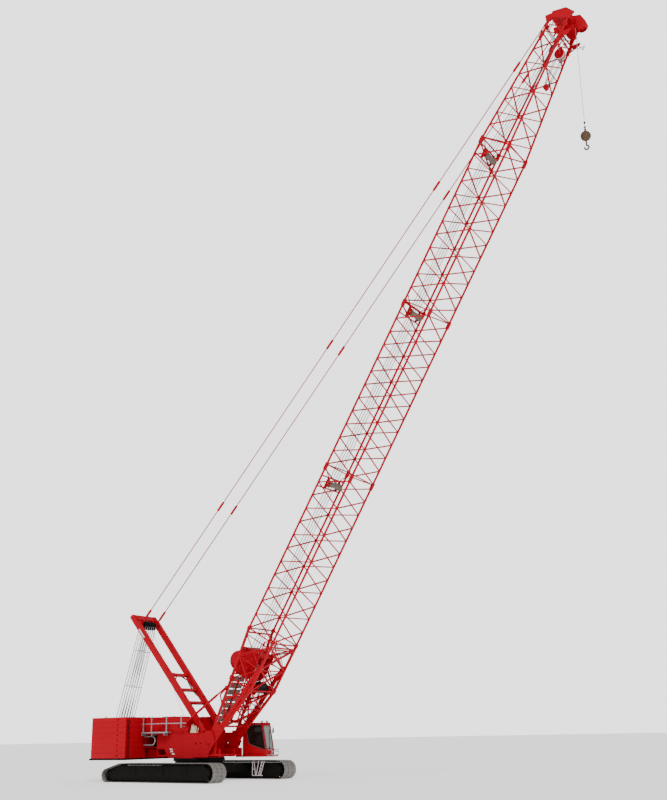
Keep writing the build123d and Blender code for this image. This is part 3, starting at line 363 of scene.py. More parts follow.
def shaded(name, group, values, bump=0.1, bumpDistance=0.002, metallic=0.0, coat=0.0, shine=0.5):
    material, tree, shader = newMaterial(name)
    shader.inputs["Metallic"].default_value = metallic
    shader.inputs["Coat Weight"].default_value = coat
    shader.inputs["Coat Roughness"].default_value = 0.12
    shader.inputs["Specular IOR Level"].default_value = shine
    node = tree.nodes.new("ShaderNodeGroup")
    node.node_tree = group
    for label, value in values.items():
        node.inputs[label].default_value = value
    tree.links.new(node.outputs["Color"], shader.inputs["Base Color"])
    tree.links.new(node.outputs["Roughness"], shader.inputs["Roughness"])
    addRelief(tree, shader, node.outputs["Height"], bump, bumpDistance)
    return material


ropeLook = {"metallic": 0.55, "layScale": 38.0, "valley": 0.55, "dirtScale": 4.0,
            "dirt": (0.16, 0.13, 0.1, 1)}


def ropeMaterial(name, color):
    material, tree, shader = newMaterial(name)
    shader.inputs["Metallic"].default_value = ropeLook["metallic"]
    coords = objectCoords(tree)
    wave = tree.nodes.new("ShaderNodeTexWave")
    wave.bands_direction = "DIAGONAL"
    wave.inputs["Scale"].default_value = ropeLook["layScale"]
    wave.inputs["Distortion"].default_value = 0.6
    tree.links.new(coords, wave.inputs["Vector"])
    lay = wave.outputs["Fac"]
    dirt = noiseNode(tree, coords, ropeLook["dirtScale"], 5.0).outputs["Fac"]
    base = mixColors(tree, rangeNode(tree, lay, 0.1, 0.9), scaled(color, ropeLook["valley"]), color)
    base = mixColors(tree, rangeNode(tree, dirt, 0.45, 0.75, 0.0, 0.5), base, ropeLook["dirt"])
    tree.links.new(base, shader.inputs["Base Color"])
    tree.links.new(rangeNode(tree, dirt, 0.3, 0.7, 0.38, 0.62), shader.inputs["Roughness"])
    addRelief(tree, shader, lay, 0.5, 0.002)
    return material


def glassMaterial(name, tint, clear=0.85, haze=0.35):
    material, tree, shader = newMaterial(name)
    shader.inputs["Transmission Weight"].default_value = clear
    shader.inputs["IOR"].default_value = 1.45
    film = noiseNode(tree, objectCoords(tree), 3.0, 6.0).outputs["Fac"]
    color = mixColors(tree, rangeNode(tree, film, 0.4, 0.8, 0.0, haze), tint, (0.75, 0.78, 0.74, 1))
    tree.links.new(color, shader.inputs["Base Color"])
    tree.links.new(rangeNode(tree, film, 0.35, 0.8, 0.02, 0.16), shader.inputs["Roughness"])
    return material


clothLook = {"sheen": 0.4, "roughness": 0.9, "threadScale": 90.0, "light": 2.2, "tilt": (0.4, 0.3)}


def clothMaterial(name, color):
    material, tree, shader = newMaterial(name)
    shader.inputs["Sheen Weight"].default_value = clothLook["sheen"]
    shader.inputs["Roughness"].default_value = clothLook["roughness"]
    coords = objectCoords(tree)
    heights = []
    for turn in (45, -45):
        lay = tree.nodes.new("ShaderNodeMapping")
        lay.inputs["Rotation"].default_value = (*clothLook["tilt"], math.radians(turn))
        tree.links.new(coords, lay.inputs["Vector"])
        wave = tree.nodes.new("ShaderNodeTexWave")
        wave.inputs["Scale"].default_value = clothLook["threadScale"]
        tree.links.new(lay.outputs["Vector"], wave.inputs["Vector"])
        heights.append(wave.outputs["Fac"])
    weave = mathNode(tree, "MULTIPLY", *heights)
    base = mixColors(tree, weave, color, scaled(color, clothLook["light"]))
    tree.links.new(base, shader.inputs["Base Color"])
    addRelief(tree, shader, weave, 0.4, 0.001)
    return material


redPaint = {
    "Color": (0.42, 0.0025, 0.012, 1), "Faded": (0.46, 0.005, 0.016, 1), "Bare": (0.16, 0.02, 0.016, 1),
    "Fading": 0.4, "Dust": 0.025, "Wear": 0.3, "Gloss": 0.4,
}
blackPaint = {
    "Color": (0.003, 0.003, 0.003, 1), "Faded": (0.006, 0.006, 0.0055, 1), "Bare": (0.09, 0.08, 0.07, 1),
    "Fading": 0.5, "Dust": 0.02, "Wear": 0.25, "Gloss": 0.5,
}
zincSteel = {
    "Color": (0.36, 0.38, 0.4, 1), "Faded": (0.5, 0.52, 0.53, 1), "Bare": (0.3, 0.22, 0.16, 1),
    "Fading": 0.7, "Dust": 0.35, "Wear": 0.3, "Gloss": 0.38,
}
creamPaint = {
    "Color": (0.62, 0.52, 0.34, 1), "Faded": (0.7, 0.64, 0.48, 1), "Bare": (0.3, 0.22, 0.15, 1),
    "Fading": 0.5, "Dust": 0.3, "Wear": 0.4, "Gloss": 0.4,
}
whitePlate = {
    "Color": (0.78, 0.78, 0.76, 1), "Faded": (0.7, 0.68, 0.62, 1), "Bare": (0.4, 0.38, 0.35, 1),
    "Fading": 0.4, "Dust": 0.2, "Wear": 0.2, "Gloss": 0.3,
}
greyPlastic = {
    "Color": (0.07, 0.07, 0.075, 1), "Faded": (0.12, 0.12, 0.12, 1), "Bare": (0.2, 0.2, 0.2, 1),
    "Fading": 0.5, "Dust": 0.3, "Wear": 0.2, "Gloss": 0.55,
}
shoeIron = {
    "Color": (0.3, 0.285, 0.27, 1), "Stain": (0.2, 0.165, 0.135, 1), "Rubbed": (0.5, 0.48, 0.46, 1),
    "Staining": 0.35, "Rubbing": 0.6, "Grain": 34.0,
}
blackIron = {
    "Color": (0.006, 0.0055, 0.005, 1), "Stain": (0.012, 0.009, 0.007, 1), "Rubbed": (0.1, 0.095, 0.09, 1),
    "Staining": 0.4, "Rubbing": 0.3, "Grain": 30.0,
}
sheaveIron = {
    "Color": (0.24, 0.2, 0.16, 1), "Stain": (0.17, 0.11, 0.075, 1), "Rubbed": (0.45, 0.42, 0.38, 1),
    "Staining": 0.5, "Rubbing": 0.5, "Grain": 26.0,
}
ballIron = {
    "Color": (0.14, 0.075, 0.035, 1), "Stain": (0.07, 0.035, 0.016, 1), "Rubbed": (0.3, 0.22, 0.15, 1),
    "Staining": 0.6, "Rubbing": 0.4, "Grain": 22.0,
}
gratingZinc = {
    "Color": (0.3, 0.26, 0.235, 1), "Stain": (0.22, 0.16, 0.13, 1), "Rubbed": (0.5, 0.47, 0.44, 1),
    "Staining": 0.5, "Rubbing": 0.5, "Grain": 30.0,
}
hookIron = {
    "Color": (0.06, 0.055, 0.05, 1), "Stain": (0.14, 0.08, 0.05, 1), "Rubbed": (0.35, 0.33, 0.3, 1),
    "Staining": 0.5, "Rubbing": 0.6, "Grain": 30.0,
}

paints = {
    "machine_red": shaded("redEnamel", agingGroup, redPaint, bump=0.03, bumpDistance=0.0004, coat=0.02,
                          shine=0.06),
    "frame_black": shaded("blackPaint", agingGroup, blackPaint, bump=0.08, bumpDistance=0.0006, shine=0.06),
    "track_steel": shaded("shoeIron", castGroup, shoeIron, bump=0.35, bumpDistance=0.003, metallic=0.35),
    "wheel_steel": shaded("blackIron", castGroup, blackIron, bump=0.3, bumpDistance=0.003, shine=0.1),
    "grey_steel": shaded("zincSteel", agingGroup, zincSteel, bump=0.1, bumpDistance=0.0008, metallic=0.7),
    "sheave_brown": shaded("sheaveIron", castGroup, sheaveIron, bump=0.3, bumpDistance=0.002, metallic=0.4),
    "hook_steel": shaded("hookIron", castGroup, hookIron, bump=0.3, bumpDistance=0.002, metallic=0.5),
    "rope_grey": ropeMaterial("wireRope", (0.42, 0.42, 0.43, 1)),
    "cab_glass": glassMaterial("cabGlass", (0.3, 0.42, 0.38, 1)),
    "seat_black": clothMaterial("seatCloth", (0.02, 0.02, 0.024, 1)),
    "console_grey": shaded("consolePlastic", agingGroup, greyPlastic, bump=0.2, bumpDistance=0.0006),
}
cream = shaded("creamPaint", agingGroup, creamPaint, bump=0.05)
plateWhite = shaded("whitePlate", agingGroup, whitePlate, bump=0.03)
ballBrown = shaded("ballIron", castGroup, ballIron, bump=0.2, bumpDistance=0.002, metallic=0.3)
darkRope = ropeMaterial("greasedRope", (0.1, 0.1, 0.1, 1))
gratingFinish = shaded("gratingZinc", castGroup, gratingZinc, bump=0.2, bumpDistance=0.002, metallic=0.2)
windshieldGlass = glassMaterial("windshieldGlass", (0.26, 0.3, 0.28, 1), 0.3)
sideGlass = glassMaterial("sideGlass", (0.012, 0.008, 0.007, 1), 0.2, 0.03)
print("materials ready")


# camera, floor and light
shot = {
    "standX": 24.104, "standY": -31.395, "eyeHeight": 1.41,
    "lens": 49.07, "yaw": -30.527, "pitch": 17.058, "roll": -1.015,
}


def makeCamera():
    yaw, pitch, roll = (math.radians(shot[k]) for k in ("yaw", "pitch", "roll"))
    ahead = Vector((math.sin(yaw) * math.cos(pitch), math.cos(yaw) * math.cos(pitch), math.sin(pitch)))
    level = Vector((math.cos(yaw), -math.sin(yaw), 0))
    upward = level.cross(ahead)
    right = level * math.cos(roll) + upward * math.sin(roll)
    top = upward * math.cos(roll) - level * math.sin(roll)
    data = bpy.data.cameras.new("studioCamera")
    data.lens = shot["lens"]
    data.sensor_width = 36
    data.clip_end = 900
    camera = bpy.data.objects.new("studioCamera", data)
    bpy.context.scene.collection.objects.link(camera)
    stand = Matrix.Translation((slewAt.x + shot["standX"], slewAt.y + shot["standY"], shot["eyeHeight"]))
    camera.matrix_world = stand @ Matrix((right, top, -ahead)).transposed().to_4x4()
    bpy.context.scene.camera = camera


studio = {
    "floorRadius": 420, "floorDrop": -0.001, "floorTints": ((0.9, 0.9, 0.9, 1), (0.93, 0.93, 0.93, 1)),
    "floorGlow": 0.55, "skyStrength": 0.6, "pageStrength": 2.4,
    "sunStrength": 2.2, "sunTurn": (42, 8, 28), "softness": 28,
}


def makeFloor():
    radius = studio["floorRadius"]
    floor = Maker()
    floor.bm.faces.new([floor.bm.verts.new((radius * math.cos(a), radius * math.sin(a),
                                            studio["floorDrop"]))
                        for a in fullTurn(96)])
    material, tree, shader = newMaterial("paleFloor")
    speckle = noiseNode(tree, objectCoords(tree), 2.0, 4.0).outputs["Fac"]
    tree.links.new(mixColors(tree, speckle, *studio["floorTints"]), shader.inputs["Base Color"])
    shader.inputs["Roughness"].default_value = 0.8
    shader.inputs["Specular IOR Level"].default_value = 0.2
    shader.inputs["Emission Color"].default_value = (1, 1, 1, 1)
    shader.inputs["Emission Strength"].default_value = studio["floorGlow"]
    floor.done("studioFloor", material)


def makeLight():
    # the camera sees a brighter page than the sky that lights the machine
    world = bpy.data.worlds.new("paleSurround")
    bpy.context.scene.world = world
    world.use_nodes = True
    tree = world.node_tree
    sky = tree.nodes["Background"]
    page = tree.nodes.new("ShaderNodeBackground")
    for surround, strength in ((sky, "skyStrength"), (page, "pageStrength")):
        surround.inputs["Color"].default_value = (1.0, 1.0, 1.0, 1)
        surround.inputs["Strength"].default_value = studio[strength]
    choice = tree.nodes.new("ShaderNodeMixShader")
    seen = tree.nodes.new("ShaderNodeLightPath").outputs["Is Camera Ray"]
    tree.links.new(seen, choice.inputs["Fac"])
    tree.links.new(sky.outputs["Background"], choice.inputs[1])
    tree.links.new(page.outputs["Background"], choice.inputs[2])
    tree.links.new(choice.outputs["Shader"], tree.nodes["World Output"].inputs["Surface"])
    light = bpy.data.lights.new("softKey", "SUN")
    light.energy = studio["sunStrength"]
    light.angle = math.radians(studio["softness"])
    key = bpy.data.objects.new("softKey", light)
    bpy.context.scene.collection.objects.link(key)
    key.rotation_euler = [math.radians(angle) for angle in studio["sunTurn"]]


makeCamera()
makeFloor()
makeLight()
print("camera and studio ready")


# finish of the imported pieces
for part in frame["record"]["subparts"]:
    node = frame["nodes"][part["node"]]
    finish = ballBrown if part["node"] == "hook_ball" else paints[part["material_slot"]]
    if not node.material_slots:
        node.data.materials.append(finish)
    for holder in node.material_slots:
        holder.material = finish
print("packed pieces painted")


# the belt of a track as runs and arcs, counter-clockwise seen from the right
trackShape = {
    # each wheel: x, z, radius
    "gauge": 3.5, "wheels": [(2.305, 0.305, 0.305), (-1.72, 0.48, 0.13), (-2.395, 0.215, 0.215)],
    "shoes": 88, "width": 0.62, "seam": 0.012, "padTop": 0.014, "padDepth": 0.024,
    "ridge": 0.011, "crest": 0.6, "ridgeAt": (0.37, 0.0, -0.37),
    "pads": [(-0.31, -0.118), (-0.094, 0.094), (0.118, 0.31)],
    "neckGap": 0.004, "neckMargin": 0.03, "linkDepth": 0.066, "linkShare": 0.47, "railAt": 0.085,
    "railHalf": 0.02,
    "blackSide": 0.7,
}


def beltSpans(wheels):
    angles = []
    for (x0, z0, r0), (x1, z1, r1) in zip(wheels, wheels[1:] + wheels[:1]):
        heading = math.atan2(z1 - z0, x1 - x0)
        angles.append(heading - math.acos((r0 - r1) / math.hypot(x1 - x0, z1 - z0)))
    spans = []
    for i, (x0, z0, r0) in enumerate(wheels):
        x1, z1, r1 = wheels[(i + 1) % len(wheels)]
        sweep = (angles[i] - angles[i - 1]) % (2 * math.pi)
        spans.append(("arc", (x0, z0, r0), angles[i - 1], sweep, r0 * sweep))
        a = Vector((x0 + r0 * math.cos(angles[i]), z0 + r0 * math.sin(angles[i])))
        b = Vector((x1 + r1 * math.cos(angles[i]), z1 + r1 * math.sin(angles[i])))
        spans.append(("run", (a, b), angles[i], 0, (b - a).length))
    return spans


def beltPlace(spans, way, half):
    for kind, shape, angle, sweep, length in spans:
        if way > length:
            way -= length
        elif kind == "arc":
            x, z, r = shape
            turn = angle + sweep * way / length
            reach = 2 * r - math.hypot(r, half)      # the flat shoe's ends stay on the belt's outside
            return Vector((x + reach * math.cos(turn), z + reach * math.sin(turn))), turn
        else:
            return shape[0].lerp(shape[1], way / length), angle
    return beltPlace(spans, 0, half)


def trackShoes(side, node):
    t = trackShape
    spans = beltSpans(t["wheels"])
    pitch = sum(span[-1] for span in spans) / t["shoes"]
    half = (pitch - t["seam"]) / 2
    top, deep, ridge, crest = -t["padTop"], -t["padDepth"], t["ridge"], t["ridge"] * t["crest"]
    section = [(-half, deep), (half, deep), (half, top)]
    for share in t["ridgeAt"]:
        u = share * pitch
        section += [(u + ridge, top), (u + crest, 0), (u - crest, 0), (u - ridge, top)]
    section.append((-half, top))
    inside = half - t["neckGap"]
    neck = [(-inside, deep + 0.001), (inside, deep + 0.001), (inside, top - t["neckGap"]),
            (-inside, top - t["neckGap"])]
    reach = t["linkShare"] * pitch
    link = [(-reach, -t["linkDepth"]), (reach, -t["linkDepth"]), (reach, deep), (-reach, deep)]
    middle = side * t["gauge"] / 2
    wide = t["width"] / 2 - t["neckMargin"]
    layers = [(section, low, high) for low, high in t["pads"]] + [(neck, -wide, wide)]
    layers += [(link, rail - t["railHalf"], rail + t["railHalf"]) for rail in (-t["railAt"], t["railAt"])]
    maker = Maker(trackFrame)
    for k in range(t["shoes"]):
        place, angle = beltPlace(spans, (k + 0.5) * pitch, half)
        out = Vector((math.cos(angle), math.sin(angle)))
        along = Vector((-out.y, out.x))
        for outline, low, high in layers:
            maker.plate([place + along * u + out * v for u, v in outline], middle + low, middle + high)
    piece = maker.done(f"shoes_{node}", paints["track_steel"], smooth=25)
    piece.data.materials.append(paints["wheel_steel"])
    inverse = trackFrame.inverted().to_3x3()
    for face in piece.data.polygons:
        if abs((inverse @ face.normal).y) > t["blackSide"]:
            face.material_index = 1
    return settle(piece, "undercarriage", "track_steel", node)


guardShape = {
    "from": -2.3, "to": 2.3, "low": 0.074, "high": 0.225, "inner": 0.166, "outer": 0.192,
    "chamfer": (0.08, 0.03),
    "bolts": 12, "boltMargin": 0.18, "boltRise": 0.028, "boltRadius": 0.012, "boltHead": 0.009,
}


def rollerGuards():
    g = guardShape
    run, rise = g["chamfer"]
    outline = [(g["from"], g["low"] + rise), (g["from"] + run, g["low"]), (g["to"] - run, g["low"]),
               (g["to"], g["low"] + rise), (g["to"], g["high"]), (g["from"], g["high"])]
    span = g["to"] - g["from"] - 2 * g["boltMargin"]
    maker = Maker(trackFrame)
    for side in (-1, 1):
        middle = side * trackShape["gauge"] / 2
        for face in (-1, 1):
            outer = middle + face * g["outer"]
            maker.plate(outline, middle + face * g["inner"], outer)
            for k in range(g["bolts"]):
                x = g["from"] + g["boltMargin"] + k * span / (g["bolts"] - 1)
                maker.disc(x, g["low"] + g["boltRise"], outer, outer + face * g["boltHead"],
                           g["boltRadius"], 6)
    return settle(maker.done("roller_guards", paints["frame_black"], bevel=0.003), "undercarriage",
                  "frame_black")


sideTrim = {
    # hubs and bosses are turned: depth, radius
    "face": 0.2, "frontHub": [(-0.03, 0.1), (0.012, 0.1), (0.012, 0.075), (0.03, 0.07), (0.032, 0.01)],
    "rearHub": [(-0.03, 0.085), (0.02, 0.085), (0.035, 0.06), (0.05, 0.055), (0.052, 0.01)],
    "boss": [(-0.01, 0.045), (0.014, 0.045), (0.014, 0.026), (0.02, 0.022), (0.021, 0.004)],
    "bossAt": (-0.62, -0.02, 0.55), "bossRise": 0.4, "strip": (-1.6, 1.85), "stripHeights": (0.495, 0.515),
    "ribs": (-1.05, 0.25, 1.3), "ribWidth": 0.016, "ribLow": 0.235, "thick": 0.012,
}


def trackFrameTrim():
    # hub covers, round bosses and a stiffening strip on both faces of each side frame
    s = sideTrim
    front, rear = trackShape["wheels"][0], trackShape["wheels"][2]
    turned = [(front[0], front[1], s["frontHub"]), (rear[0], rear[1], s["rearHub"])]
    turned += [(x, s["bossRise"], s["boss"]) for x in s["bossAt"]]
    low, high = s["stripHeights"]
    maker = Maker(trackFrame)
    for side in (-1, 1):
        for face in (-1, 1):
            y = side * trackShape["gauge"] / 2 + face * s["face"]
            for x, z, profile in turned:
                maker.lathe(x, z, [(y + face * depth, radius) for depth, radius in profile], 24)
            maker.box(*s["strip"], y, y + face * s["thick"], low, high)
            for x in s["ribs"]:
                maker.box(x, x + s["ribWidth"], y, y + face * s["thick"], s["ribLow"], low)
    return settle(maker.done("side_frame_trim", paints["frame_black"], bevel=0.002), "undercarriage",
                  "frame_black")


ladderShape = {
    "offset": -0.245, "rail": 0.018, "rung": 0.011, "rungs": 5, "firstRung": 0.08, "rungStep": 0.2,
    "rails": [((1.10, 0.11), (1.105, 0.6)), ((1.25, 0.11), (1.17, 0.6)), ((1.27, 0.11), (1.39, 0.6)),
              ((1.37, 0.1), (1.545, 0.6)), ((1.46, 0.1), (1.645, 0.6))],
    "hinges": (1.12, 1.52), "hinge": (0.03, 0.05), "hingeHeights": (0.3, 0.33), "foot": (1.09, 1.56),
    "footHalf": 0.01, "footHeights": (0.1, 0.125),
}


def foldedLadder():
    # steps folded up against the inner face of the left side frame
    s = ladderShape
    maker = Maker(trackFrame)
    y = trackShape["gauge"] / 2 + s["offset"]
    for low, high in s["rails"]:
        maker.tube([(low[0], y, low[1]), (high[0], y, high[1])], s["rail"])
    for k in range(s["rungs"]):
        t = s["firstRung"] + s["rungStep"] * k
        ends = [(low[0] + (high[0] - low[0]) * t, y, low[1] + (high[1] - low[1]) * t)
                for low, high in s["rails"][-2:]]
        maker.tube(ends, s["rung"])
    for x in s["hinges"]:
        maker.box(x, x + s["hinge"][0], y, y + s["hinge"][1], *s["hingeHeights"])
    maker.box(*s["foot"], y - s["footHalf"], y + s["footHalf"], *s["footHeights"])
    return settle(maker.done("folded_ladder", plateWhite), "undercarriage", "grey_steel", "access_ladder")


trackShoes(-1, "track_right")
trackShoes(1, "track_left")
rollerGuards()
trackFrameTrim()
foldedLadder()
print("tracks done")


bridleShape = {"x": -3.41, "z": 2.01, "spread": 0.36, "radius": 0.1}
mastShape = {
    "pin": 4.777, "spread": 0.275, "sheave": 0.15, "sheaveHalf": 0.026, "hub": (0.055, 0.05), "shaft": 0.03,
    "shaftEnd": 0.387, "length": 5.21, "half": 0.575, "foot": 0.54,
}
reeving = {
    "sheaves": 6, "rope": 0.0125, "groove": 0.93, "steps": 28, "spreaders": (0.36, 0.73), "spreader": 0.011,
    "leadFrom": (-0.42, 0.1, 1.42), "leadBack": 0.14, "leadAside": 0.1, "lead": 0.006, "leadSteps": 24,
}


def strung(maker, name):
    # ropes between two bodies are baked into world space and attached to neither
    piece = maker.done(name, paints["rope_grey"], smooth=60)
    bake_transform(piece)


def hoistReeving():
    # the falls between the bridle and the mast head, with two thin spreaders
    maker = Maker()
    head = mastFrame @ Vector((mastShape["pin"], 0, 0))
    root = bedFrame @ Vector((bridleShape["x"], 0, bridleShape["z"]))
    run = (head - root).normalized()
    across = Vector((-run.z, 0, run.x))
    edges = []
    for k in range(reeving["sheaves"]):
        share = k / (reeving["sheaves"] - 1) * 2 - 1
        for fall in (-1, 1):
            a = root + across * fall * bridleShape["radius"] + Vector((0, share * bridleShape["spread"], 0))
            grooved = across * fall * mastShape["sheave"] * reeving["groove"]
            b = head + grooved + Vector((0, share * mastShape["spread"], 0))
            maker.rope(a, b, reeving["steps"], reeving["rope"])
            edges.append((a, b))
    for t in reeving["spreaders"]:
        for fall in (0, 1):
            first, last = (a.lerp(b, t) for a, b in (edges[fall], edges[-2 + fall]))
            maker.rope(first, last, 4, reeving["spreader"])
    strung(maker, "hoist_reeving")


def hoistLead():
    # the hauling line from the deck drum to the mast head
    maker = Maker()
    head = mastFrame @ Vector((mastShape["pin"] - reeving["leadBack"], reeving["leadAside"], 0))
    root = bedFrame @ Vector(reeving["leadFrom"])
    maker.rope(root, head, reeving["leadSteps"], reeving["lead"])
    strung(maker, "hoist_lead_line")


def sheaveProfile(middle, radius, half, hub, hubHalf):
    # rope groove, web and hub of one sheave, as (y, radius)
    lip = radius * 0.9
    web = half * 0.35
    side = [(-hubHalf, hub * 0.6), (-hubHalf, hub), (-web, hub * 1.1), (-web, lip * 0.86),
            (-half, lip * 0.9),
            (-half, radius), (-half * 0.72, radius), (-half * 0.3, lip)]
    mirrored = [(-y, r) for y, r in reversed(side)]
    return [(middle + y, r) for y, r in side + mirrored]


def mastHeadSheaves():
    m = mastShape
    maker = Maker(mastFrame)
    for k in range(reeving["sheaves"]):
        y = -m["spread"] + k * m["spread"] * 2 / (reeving["sheaves"] - 1)
        maker.lathe(m["pin"], 0, sheaveProfile(y, m["sheave"], m["sheaveHalf"], *m["hub"]), 36)
    maker.shaft(m["pin"], 0, -m["shaftEnd"], m["shaftEnd"], m["shaft"], 20)
    return settle(maker.done("mast_head_sheaves", paints["wheel_steel"]), "mast", "wheel_steel",
                  "mast_sheaves")


headShape = {
    "start": 26.25, "sheaveAt": (0.55, -0.314), "sheave": 0.19, "sheaveHalf": 0.026, "hub": (0.07, 0.055),
    "middles": (-0.24, -0.12, 0.0, 0.12, 0.24), "shaft": 0.04, "shaftEnd": 0.527,
    "noseAt": (0.876, -0.53), "nose": 0.165, "noseHalf": 0.03, "noseHub": (0.06, 0.06), "noseMiddle": 0.192,
    "noseShaft": 0.03, "noseShaftEnds": (0.05, 0.334), "half": 0.48,
}


def boomHeadSheaves():
    h = headShape
    maker = Maker(boomFrame)
    x, z = h["start"] + h["sheaveAt"][0], h["sheaveAt"][1]
    for y in h["middles"]:
        maker.lathe(x, z, sheaveProfile(y, h["sheave"], h["sheaveHalf"], *h["hub"]), 40)
    maker.shaft(x, z, -h["shaftEnd"], h["shaftEnd"], h["shaft"], 24)
    x, z = h["start"] + h["noseAt"][0], h["noseAt"][1]
    maker.lathe(x, z, sheaveProfile(h["noseMiddle"], h["nose"], h["noseHalf"], *h["noseHub"]), 36)
    maker.shaft(x, z, *h["noseShaftEnds"], h["noseShaft"], 20)
    return settle(maker.done("head_sheave_set", paints["machine_red"]), "boom", "machine_red",
                  "head_sheaves")


hoistReeving()
hoistLead()
mastHeadSheaves()
boomHeadSheaves()
print("sheaves and reeving done")


hoistLines = {
    "from": (2.78, 0.44), "middles": (-0.24, -0.08, 0.08, 0.24), "rope": 0.012, "headGap": (0.05, 0.012),
    "headShare": 0.9, "headShift": -0.01, "guides": (9.45, 15.9, 21.85), "guideRise": 0.402,
    "guideRadius": 0.095,
    "groove": 0.012, "grooveSteps": [(-0.05, 0.012), (-0.02, 0.008), (-0.012, 0.0), (0.012, 0.0),
                                     (0.02, 0.008), (0.05, 0.012)],
    "end": 0.32, "lip": 0.03, "lipWidth": 0.015, "shaft": 0.024, "shaftEnd": 0.4,
}


def boomLines():
    # the hoist lines from the butt winch over the guide sheaves to the head
    h = hoistLines
    maker = Maker(boomFrame)
    top = h["guideRise"] + h["guideRadius"]
    x, z = headShape["start"] + headShape["sheaveAt"][0], headShape["sheaveAt"][1] + headShape["sheave"]
    for y in h["middles"]:
        route = [(h["from"][0], y, h["from"][1])]
        route += [(along, y, top) for along in h["guides"]]
        route.append((x - h["headGap"][0], y * h["headShare"] + h["headShift"], z - h["headGap"][1]))
        maker.tube(route, h["rope"], 6)
    return settle(maker.done("boom_hoist_lines", darkRope, smooth=60), "boom", "rope_grey")


barrelFrame = {
    "bars": (-0.19, 0.19), "barEnd": 0.715, "barRise": 0.5, "bar": 0.026, "cheekFaces": (0.345, 0.36),
    "cheek": [(-0.2, 0.53), (-0.2, 0.47), (-0.05, 0.35), (0.05, 0.35), (0.2, 0.47), (0.2, 0.53)],
    "cap": 0.045, "capFace": 0.375, "brace": [(0.19, 0.35, 0.5), (0.45, 0.7, 0.52)], "braceRadius": 0.018,
}


def ropeBarrels():
    # grooved barrels under the hoist lines, each in a red frame across the back of the boom
    h = hoistLines
    rim = h["guideRadius"] + h["lip"]
    profile = [(-h["end"], 0.02), (-h["end"], rim), (-h["end"] + h["lipWidth"], rim)]
    profile += [(y + shift, h["guideRadius"] - h["groove"] + depth) for y in h["middles"]
                for shift, depth in h["grooveSteps"]]
    profile += [(h["end"] - h["lipWidth"], rim), (h["end"], rim), (h["end"], 0.02)]
    maker = Maker(boomFrame)
    for along in h["guides"]:
        maker.lathe(along, h["guideRise"], profile, 36)
        maker.shaft(along, h["guideRise"], -h["shaftEnd"], h["shaftEnd"], h["shaft"], 16)
    settle(maker.done("rope_barrels", paints["sheave_brown"]), "boom", "sheave_brown", "rope_guides")
    b = barrelFrame
    near, far = b["cheekFaces"]
    maker = Maker(boomFrame)
    for along in h["guides"]:
        for shift in b["bars"]:
            maker.tube([(along + shift, y, b["barRise"]) for y in (-b["barEnd"], b["barEnd"])], b["bar"],
                       10)
        for side in (-1, 1):
            maker.plate([(along + x, z) for x, z in b["cheek"]], side * near, side * far)
            maker.disc(along, h["guideRise"], side * far, side * b["capFace"], b["cap"], 20)
            maker.tube([(along + x, side * y, z) for x, y, z in b["brace"]], b["braceRadius"])
    settle(maker.done("barrel_frames", paints["machine_red"], bevel=0.002), "boom", "machine_red")


buttShape = {
    # each station: distance from the foot, half width, chord behind, chord in front
    "stations": [(0.64, 0.69, 0.15, 0.195), (2.2, 0.71, 0.344, 0.54), (3.87, 0.725, 0.5525, 0.5525)],
    "strutFaces": (0.63, 0.715), "bays": ((0.72, 1.42), (1.42, 2.2), (2.2, 2.95), (2.95, 3.72)),
    "brace": 0.019,
    "strut": [(0.12, -0.1), (0.3, -0.13), (2.98, -0.54), (3.14, -0.5), (3.05, -0.42), (0.3, 0.0),
              (0.12, 0.05)],
    "crossBrace": 1.2, "stopStrut": 0.024,
    "stopStrutRoute": [(1.24, 0, 0), (1.5, 0.01, 0.2), (1.87, 0.015, 0.02)],
}


def buttPoint(along, side, back):
    # a point on the centre line of one of the butt's chords
    first, middle, last = buttShape["stations"]
    a, b = (first, middle) if along <= middle[0] else (middle, last)
    t = (along - a[0]) / (b[0] - a[0])
    half, rear, front = (a[i] + (b[i] - a[i]) * t for i in (1, 2, 3))
    return Vector((along, side * half, rear if back > 0 else -front))


def buttMiddle(along, y):
    return Vector((along, y, (buttPoint(along, 1, 1).z + buttPoint(along, 1, -1).z) / 2))


def buttStruts():
    # deep struts from the foot eyes to the front chords, and cross bracing
    s = buttShape
    maker = Maker(boomFrame)
    for side in (-1, 1):
        maker.plate(s["strut"], side * s["strutFaces"][0], side * s["strutFaces"][1])
        for a, b in s["bays"]:
            for start, back in ((a, 1), (a, -1), (b, 1)):
                maker.tube([buttPoint(start, side, back), buttPoint(b, side, -back)], s["brace"])
    for a, b in s["bays"]:
        for side in (-1, 1):
            maker.tube([buttPoint(a, side, -1), buttPoint(b, -side, -1)], s["brace"])
        maker.tube([buttPoint(b, -1, -1), buttPoint(b, 1, -1)], s["brace"] * s["crossBrace"])
    for _, b in s["bays"][:2]:
        maker.tube([buttPoint(b, -1, 1), buttPoint(b, 1, 1)], s["brace"] * s["crossBrace"])
    for side in (-1, 1):
        # the short strut that steadies the stop's bracket
        route = [buttPoint(along, side, 1) + Vector((0, side * y, z))
                 for along, y, z in s["stopStrutRoute"]]
        maker.tube(route, s["stopStrut"], 10)
    return settle(maker.done("butt_struts", paints["machine_red"]), "boom", "machine_red")


innardShape = {
    "bays": ((0.9, 1.6), (1.6, 2.3), (2.3, 3.0), (3.0, 3.75)), "bar": 0.015, "railAt": 0.34, "rail": 0.02,
    "railStations": (0.9, 2.3, 3.75), "pipe": 0.011, "pipeShifts": (0.0, 0.05),
    "pipeRoute": [(0.7, 0.5, -0.1), (1.5, 0.52, -0.22), (2.3, 0.5, -0.1), (2.68, 0.46, 0.05)],
}


